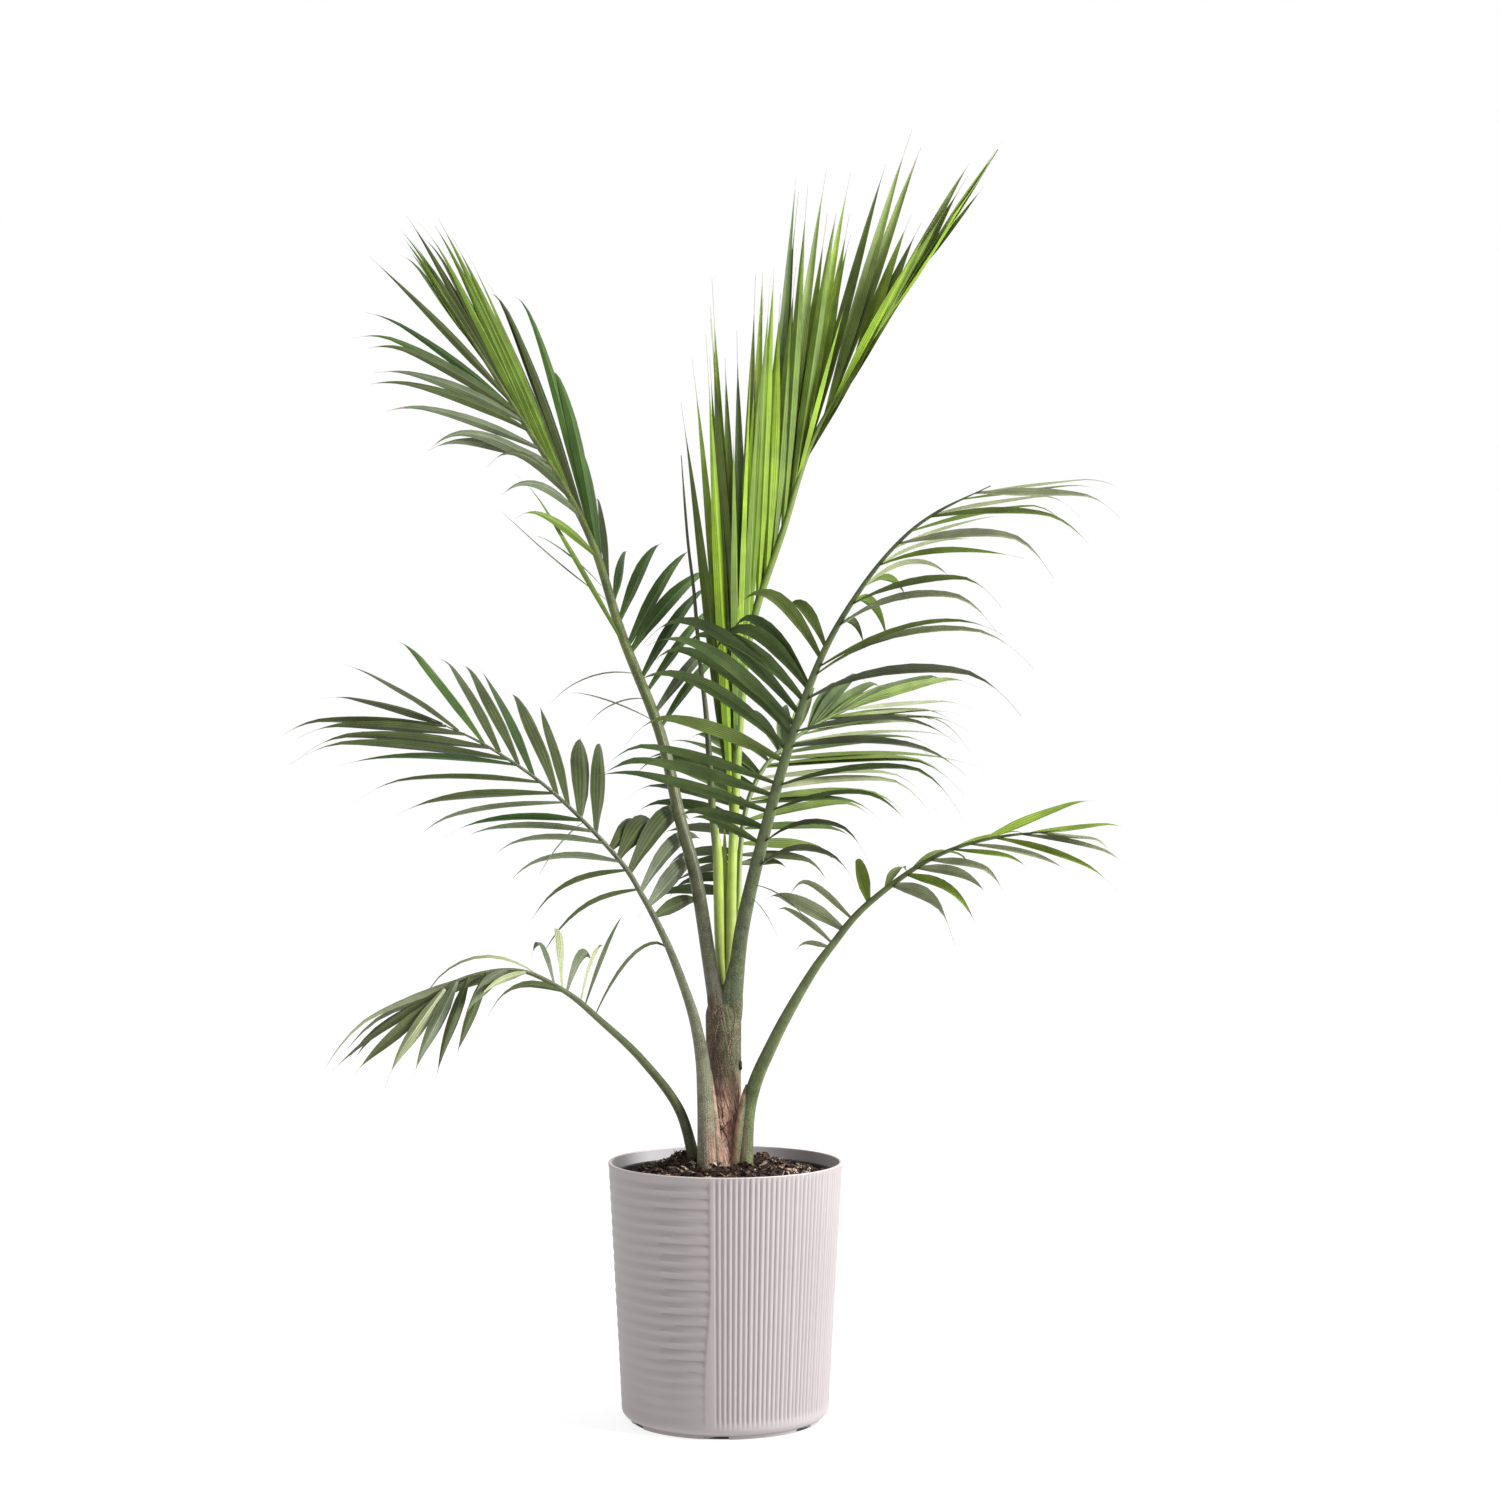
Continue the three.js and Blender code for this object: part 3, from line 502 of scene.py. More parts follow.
# %% Give the planter its relief, its notches and its finishes
push_out(planter, relief)
for vertex in planter.data.vertices:
    radius = math.hypot(vertex.co.x, vertex.co.y)
    if vertex.co.z < 0.0001 and radius > 0.1:
        angle = math.atan2(vertex.co.x, -vertex.co.y)
        apart = min(abs((angle - notch + math.pi) % TURN - math.pi) for notch in NOTCHES)
        if apart * radius < NOTCH_HALF:
            vertex.co.z = NOTCH_TOP
for face in planter.data.polygons:
    x, y, z = face.center
    inner = is_inside(math.hypot(x, y), z) and z > FLOOR_TOP
    # Faces above the lip take the lip's painted highlight
    face.material_index = 2 if z > LIP_LOW else int(inner)
finish_piece(planter, "planter_shell", planter_plastics, "planter", smooth=42)

# %% A dark disc under the foot, painted shade that shows in the notches
NOTCH_SHADE_PROFILE = [(0.1020, 0.0003), (0.1025, 0.0006), (0.1025, 0.0036), (0.09, 0.0036)]
# This black disc is painted shade: it darkens the notches, where the floor's glow would show
# through
finish_piece(raise_profile(96, NOTCH_SHADE_PROFILE), "notch_shade_disc", [liner_black], smooth=35)

# %% [markdown]
# ## The grower's pot
# Inside the planter stands the thin black pot that the palm was sold in. Only its rim shows, as a
# dark ring between the pale wall and the mix. It is raised from a disc in the same way, with a
# small turned-out lip.

# %% Grower's pot
LINER = [(0.098, 0.0093), (0.1174, 0.2638), (0.1200, 0.2638), (0.1200, 0.2664), (0.1196, 0.2668),
         (0.1161, 0.2668), (0.1157, 0.2664), (0.0957, 0.0117), (0.05, 0.0117)]
finish_piece(raise_profile(144, LINER), "growers_pot", [liner_black], "liner", smooth=35)

# %% [markdown]
# ## Potting mix
# The mix is a dark, damp blend of peat and bark. Its surface is a disc that is inset in rings and
# then roughened by noise, low at the pot's wall and heaped round the stem. Loose bark, chips and
# straw lie on it: more than a thousand small bits, each a bent sliver of a few faces, joined into
# one mesh for each kind.

# %% Finishes of the mix and the fibres
def crumb_material(name, light, dark, roughness, depth):
    """Mottled and rough, with paler specks."""
    material, tree, spot, _ = new_material(name, roughness, 0.25)
    tone = mottled(tree, spot, 160.0, 0.7, dark, light)
    grain = add_node(tree, "ShaderNodeTexNoise", Vector=spot, Scale=700.0, Detail=5.0)
    pale = blended(tree, speckled(tree, spot, 520.0, 0.75), tone, tinted(light, 2.2))
    coat(tree, (grain, "Fac"), 0.7, depth, Base_Color=pale)
    return material


# Each finish: its light and dark tones, its roughness and the depth of its grain
CRUMBS = {
    "mix_dark": ((0.030, 0.018, 0.013), (0.009, 0.006, 0.005), 0.95, 0.002),
    "bark_brown": ((0.075, 0.044, 0.031), (0.028, 0.017, 0.012), 0.85, 0.0006),
    "bark_tan": ((0.33, 0.255, 0.19), (0.15, 0.108, 0.08), 0.8, 0.0006),
    "straw": ((0.40, 0.345, 0.265), (0.26, 0.205, 0.145), 0.7, 0.0003),
    "fibre_dark": ((0.10, 0.045, 0.035), (0.035, 0.016, 0.013), 0.8, 0.0002),
    "fibre_pale": ((0.33, 0.22, 0.155), (0.19, 0.12, 0.085), 0.75, 0.0002),
}
crumbs = {name: crumb_material(name, *values) for name, values in CRUMBS.items()}
print("finishes of the mix and the fibres:", list(crumbs))

# %% The mix itself
MIX_RADIUS = 0.1148
MIX_EDGE = 0.2620
MIX_RINGS = 34
# Radius of the middle that the rings leave
MIX_MIDDLE = 0.008
# Radius of the stem's foot, which bits keep out of, and the bare edge at the pot's wall
BITS_FROM = 0.022
BITS_EDGE = 0.006


def mound(x, y, size, middle, spread):
    """A soft mound of a size, round a middle, with its spread in x and y."""
    return size * math.exp(-((x - middle[0]) ** 2 / spread[0] + (y - middle[1]) ** 2 / spread[1]))


def mix_height(x, y):
    """Height of the mix: a low bowl, heaped towards the stem and at the back left."""
    radius = math.hypot(x, y)
    heap = 0.014 * ease(0.105, 0.03, radius) + mound(x, y, 0.010, (-0.046, 0.004), (0.0008, 0.0012))
    heap += mound(x, y, 0.005, (0.055, 0.02), (0.0012, 0.0012))
    back = 0.002 * ease(-0.02, 0.08, y) * ease(0.105, 0.06, abs(x))
    rough = 0.0042 * noise.noise((x * 55, y * 55, 0.3))
    rough += 0.0022 * noise.noise((x * 160, y * 160, 2))
    return MIX_EDGE + heap + back + rough * ease(MIX_RADIUS, MIX_RADIUS - 0.006, radius)


mix_disc = new_disc(160, MIX_RADIUS, MIX_EDGE)
for ring in range(MIX_RINGS):
    bpy.ops.mesh.inset(thickness=(MIX_RADIUS - MIX_MIDDLE) / MIX_RINGS)
bpy.ops.object.mode_set(mode="OBJECT")
for vertex in mix_disc.data.vertices:
    vertex.co.z = mix_height(vertex.co.x, vertex.co.y)
finish_piece(mix_disc, "potting_mix", [crumbs["mix_dark"]], "soil", smooth=60)

# %% Gather small shapes
class Heap:
    """Lists that many small shapes are gathered in before they become one mesh."""

    def __init__(self):
        self.points, self.faces, self.slots, self.uvs = [], [], [], []

    def add(self, points, faces, slots, uvs=None):
        """Adds a shape. slots is the material of all its faces, or a list of one a face."""
        first = len(self.points)
        self.points += [tuple(point) for point in points]
        self.faces += [tuple(first + corner for corner in face) for face in faces]
        self.slots += slots if isinstance(slots, list) else [slots] * len(faces)
        for number, face in enumerate(faces):
            self.uvs += uvs[number] if uvs else [(0.0, 0.0)] * len(face)

    def make(self, name, slot, materials, replaced=None, smooth=None):
        mesh = bpy.data.meshes.new(name)
        mesh.from_pydata(self.points, [], self.faces)
        layer = mesh.uv_layers.new(name="UVMap")
        layer.data.foreach_set("uv", [value for corner in self.uvs for value in corner])
        mesh.polygons.foreach_set("material_index", self.slots)
        mesh.update()
        piece = bpy.data.objects.new(name, mesh)
        bpy.context.scene.collection.objects.link(piece)
        finish_piece(piece, name, materials, replaced, smooth)


def weave(levels, columns, closed=True, order=(0, 1, 2, 3)):
    """Faces between rows of points, row by row, and the UVs of their corners."""
    faces, uvs = [], []
    spans = columns if closed else columns - 1
    for i in range(len(levels) - 1):
        for k in range(spans):
            row, above, other = i * columns, (i + 1) * columns, (k + 1) % columns
            face = (row + k, row + other, above + other, above + k)
            left, right, low, high = k / spans, (k + 1) / spans, levels[i], levels[i + 1]
            corners = ((left, low), (right, low), (right, high), (left, high))
            faces.append(tuple(face[number] for number in order))
            uvs.append([corners[number] for number in order])
    return faces, uvs

# %% Loose bark, chips and straw
def sliver(heap, place, length, width, thick, turn, tip, bend, slot):
    """A bent chip: three rings of four corners, closed at both ends."""
    spin = Quaternion((0, 0, 1), turn) @ Quaternion((0, 1, 0), tip)
    points = []
    for share, wide in ((-0.5, 0.55), (0.0, 1.0), (0.5, 0.6)):
        lift = bend * (0.25 - share * share)
        for across, up in ((-0.5, -0.5), (0.5, -0.5), (0.5, 0.5), (-0.5, 0.5)):
            corner = Vector((share * length, across * width * wide, up * thick * wide + lift))
            points.append(Vector(place) + spin @ corner)
    heap.add(points, [(3, 2, 1, 0), (8, 9, 10, 11)] + weave((0, 1, 2), 4)[0], slot)


def pale_share(x, y):
    """The share of pale chips at a place: most at the front left and at the right."""
    return (0.03 + mound(x, y, 0.5, (-0.06, -0.06), (0.0014, 0.0014))
            + mound(x, y, 0.4, (0.065, -0.01), (0.0012, 0.0012)))


def scatter_bits(count, sizes, seed, slots, lean, pale_slot=None):
    """Bits strewn over the mix outside the stem, resting on it or standing a little proud."""
    chance = random.Random(seed)
    heap = Heap()
    for _ in range(count):
        radius = BITS_FROM + (MIX_RADIUS - BITS_FROM - BITS_EDGE) * math.sqrt(chance.random())
        angle = chance.uniform(0, TURN)
        x, y = radius * math.cos(angle), radius * math.sin(angle)
        length, width, thick = [chance.uniform(*size) * MM for size in sizes]
        place = (x, y, mix_height(x, y) + thick * 0.4 + chance.uniform(0, 1.2) * MM)
        slot = chance.choice(slots)
        if pale_slot is not None and chance.random() < pale_share(x, y):
            slot = pale_slot
        sliver(heap, place, length, width, thick, chance.uniform(0, 6.3),
               chance.uniform(-lean, lean), length * chance.uniform(-0.2, 0.3), slot)
    return heap


chips = scatter_bits(1500, ((3, 11), (1.4, 4.4), (0.8, 2.6)), 7, [0, 0, 0, 0, 1, 1, 1], 0.7, 2)
chips.make("bark_chips", "soil", [crumbs[name] for name in ("mix_dark", "bark_brown", "bark_tan")])
straws = scatter_bits(110, ((7, 19), (0.4, 1.0), (0.4, 0.7)), 11, [0, 0, 1], 0.95)
straws.make("straw_bits", "soil", [crumbs["straw"], crumbs["bark_tan"]])

# %% [markdown]
# ## Stem
# The stem of a young palm is a stub of old leaf bases wrapped round each other. Its foot is
# reddish brown and fibrous. Higher up it grows grey-green, and it ends in a fork, where two stalks
# clasp the younger ones. A cylinder is cut into rows, and each row is given the outline of a round
# core with the two clasping stalks beside it, so the fork opens by itself as the core thins out.

# %% Stem finish
# Each tone: its scale and contrast, its dark and its light colour
ROSY = (75.0, 0.75, (0.34, 0.178, 0.134), (0.80, 0.50, 0.39))
GREY = (60.0, 0.6, (0.060, 0.046, 0.030), (0.125, 0.100, 0.068))
GREEN = (70.0, 0.6, (0.050, 0.062, 0.024), (0.100, 0.112, 0.050))


def sheath_material():
    """Rosy brown at the foot, then grey-brown at the left and speckled green at the right."""
    material, tree, spot, _ = new_material("sheath", 0.65, 0.3)
    parts = add_node(tree, "ShaderNodeSeparateXYZ", Vector=spot)
    rosy, grey, green = [mottled(tree, spot, *values) for values in (ROSY, GREY, GREEN)]
    sides = blended(tree, graded(tree, (parts, 0), -0.008, 0.004), grey, green)
    whole = blended(tree, graded(tree, (parts, 2), 0.325, 0.390), rosy, sides)
    lined, mask = threaded(tree, spot, whole, 0.28, 420.0, -0.5, 0.42)
    specks = scaled(tree, speckled(tree, spot, 760.0, 0.72), 0.6)
    coat(tree, mask, 0.6, 0.0009, Base_Color=blended(tree, specks, lined, (0.30, 0.265, 0.165)))
    return material


sheath = sheath_material()
print("stem finish:", sheath.name)

# %% Outline of the stem at each height
STEM_FOOT = 0.2625
STEM_TOP = 0.440
FORK_TOP = 0.470
MIX_LEVEL = 0.268
STEM_RADIUS = 0.017
STEM_ROWS = 84
STEM_RADII = [0.0222, 0.0188, 0.017, 0.0163, 0.0165, 0.0178, 0.0186]
STEM_CENTRE = (-0.001, 0.001)
# Each sheath's slanting edge: its angle, its slant and its depth
EDGES = [(0.95, 9.0, 0.0016), (-1.25, -11.0, 0.0013), (2.6, 8.0, 0.0014)]
# Each clasping stalk: its middle at the stem's top, its middle at the fork's top, its radius
CLASPS = [((-0.009, -0.006), (-0.0134, -0.0082), 0.0089),
          ((0.009, -0.006), (0.0112, -0.0126), 0.0096)]


def core_radius(angle, height):
    """Radius of the stem's core, with lobes and the slanting edges of wrapped sheaths."""
    share = (height - MIX_LEVEL) / (STEM_TOP - MIX_LEVEL)
    size = along(STEM_RADII, share) * (1 + 0.12 * abs(math.cos(angle)))
    lobes = 1 + 0.045 * (1 - share) * math.cos(3 * angle + 6.4 * share)
    edge = 0.0
    for first, slant, depth in EDGES:
        place = (angle - first - slant * (height - 0.3) + math.pi) % TURN - math.pi
        edge += depth * ease(-0.04, 0.05, place) * ease(1.9, 0.4, place)
    fibre = 0.0005 * noise.noise((angle * 9 + height * 60, height * 18, 1.0))
    return (size * lobes + edge + fibre) * (1 - 0.45 * ease(0.435, FORK_TOP, height))


def clasp_radius(clasp, angle, height):
    """How far out a clasping stalk reaches from the stem's axis in one direction."""
    low, high, size = clasp
    rise = (height - STEM_TOP) / (FORK_TOP - STEM_TOP)
    size -= 0.0014 * ease(0.2, 1.0, rise) + 0.004 * ease(-0.1, -0.9, rise)
    x, y = (low[k] + (high[k] - low[k]) * rise - STEM_CENTRE[k] for k in (0, 1))
    facing = x * math.sin(angle) - y * math.cos(angle)
    rest = size * size - x * x - y * y + facing * facing
    return facing + math.sqrt(rest) if rest > 0 and facing > 0 else 0.0


def stem_radius(angle, height):
    return max(core_radius(angle, height), *(clasp_radius(each, angle, height) for each in CLASPS))

# %% Shape the stem
start_clean()
bpy.ops.mesh.primitive_cylinder_add(vertices=160, radius=STEM_RADIUS,
                                    depth=FORK_TOP - STEM_FOOT,
                                    location=(0, 0, (FORK_TOP + STEM_FOOT) / 2))
stem = bpy.context.object
bpy.ops.object.transform_apply(location=True)
cut_rows(stem, STEM_ROWS)
push_out(stem, lambda angle, height, radius: stem_radius(angle, height) - radius)
for vertex in stem.data.vertices:
    vertex.co.x += STEM_CENTRE[0]
    vertex.co.y += STEM_CENTRE[1]
finish_piece(stem, "stem_sheaths", [sheath], "stem", smooth=50)

# %% [markdown]
# Old sheaths fray into long fibres that cross each other on the stem. Each one is a thin strip
# that climbs the stem at a slant, just above its surface. They are joined into one mesh, dark
# red-brown ones and pale ones apart. A small dark scar shows where a leaf was once cut off.

# %% Fibres
FIBRE_STEPS = 14
# Each band: count, lowest, highest, slants, lengths, widths in mm, colours
FIBRE_BANDS = [
    (70, 0.264, 0.300, (12, 42), (0.020, 0.045), (0.22, 0.55), (0, 0, 0, 1, 1)),
    (60, 0.290, 0.350, (-28, -10), (0.020, 0.050), (0.20, 0.50), (0, 0, 0, 1)),
    (60, 0.300, 0.410, (-5, 3), (0.015, 0.050), (0.12, 0.28), (0, 0, 1)),
]
# Pale fibres that run down from the fork
FORK_FIBRES = 26


def add_fibre(heap, first, slant, low, high, width, slot, chance):
    """A strip that climbs the stem from one height to another, turning by slant as it climbs."""
    wander = chance.uniform(0, 6.3)
    points = []
    for i in range(FIBRE_STEPS + 1):
        share = i / FIBRE_STEPS
        height = low + (high - low) * share
        angle = first + slant * (height - low) + 0.12 * math.sin(wander + 5 * share)
        lift = 0.0001 + 0.0005 * math.sin(math.pi * share) * chance.random()
        half = width * math.sin(math.pi * (0.12 + 0.76 * share))
        for side, proud in ((-1, 0.0), (0, half), (1, 0.0)):
            turned = angle + side * half / STEM_RADIUS
            reach = stem_radius(turned, height) + lift + proud
            points.append((STEM_CENTRE[0] + reach * math.sin(turned),
                           STEM_CENTRE[1] - reach * math.cos(turned), height))
    heap.add(points, weave(range(FIBRE_STEPS + 1), 3, closed=False)[0], slot)


chance = random.Random(41)
fibres = Heap()
for count, lowest, highest, slants, lengths, widths, colours in FIBRE_BANDS:
    for _ in range(count):
        low = chance.uniform(lowest, highest)
        add_fibre(fibres, chance.uniform(-math.pi, math.pi), chance.uniform(*slants), low,
                  min(0.45, low + chance.uniform(*lengths)), chance.uniform(*widths) * MM,
                  chance.choice(colours), chance)
for _ in range(FORK_FIBRES):
    low = chance.uniform(0.405, 0.452)
    add_fibre(fibres, -0.14 - 20 * (0.463 - low) + chance.uniform(-0.08, 0.08),
              chance.uniform(6, 26), low, low + chance.uniform(0.006, 0.014),
              chance.uniform(0.10, 0.18) * MM, 1, chance)
fibres.make("sheath_fibres", "stem", [crumbs["fibre_dark"], crumbs["fibre_pale"]], smooth=60)

# %% A scar
start_clean()
bpy.ops.mesh.primitive_uv_sphere_add(segments=24, ring_count=14, radius=1,
                                     location=(0.0158, -0.003, 0.3835))
scar = bpy.context.object
scar.scale = (0.0026, 0.0034, 0.0062)
scar.rotation_euler = (0, math.radians(-8), 0)
bpy.ops.object.transform_apply(location=True, rotation=True, scale=True)
for vertex in scar.data.vertices:
    vertex.co.x += 0.0006 * noise.noise(tuple(vertex.co * 420))
finish_piece(scar, "old_scar", [crumbs["mix_dark"]], smooth=50)

# %% [markdown]
# ## Fronds as lines
# A feather leaf is a stalk that runs on as a rib, with leaflets on both sides. Each frond here is
# given by its rib and two margins, the lines that its leaflet tips reach. The same few points
# shape the CAD solids, so the leaflets stay in the same places. Points and radii are in
# millimetres, and every other list runs evenly from the frond's base to its tip.
#
# - `groove`, `flare` and `radius` shape the stalk. `wild` and `bundle` say how far the leaflets
#   stray at their tips and at their roots, in mm.
# - `taper` and `sag` shape the leaflets' points. `early` is how much nearer to the base than the
#   solid's they leave the rib, in metres.
# - For each side, `wider` and `loose` are set against the solid's leaflets, and `crowd` gathers
#   them at one end of the `span` that they cover, given in shares of the rib.
# - `tilt` turns the blades, in degrees. `bow` raises the inner part of a leaflet and `hang` its
#   outer part, as shares of its length. Every word of `tones` is a bag of tone letters.

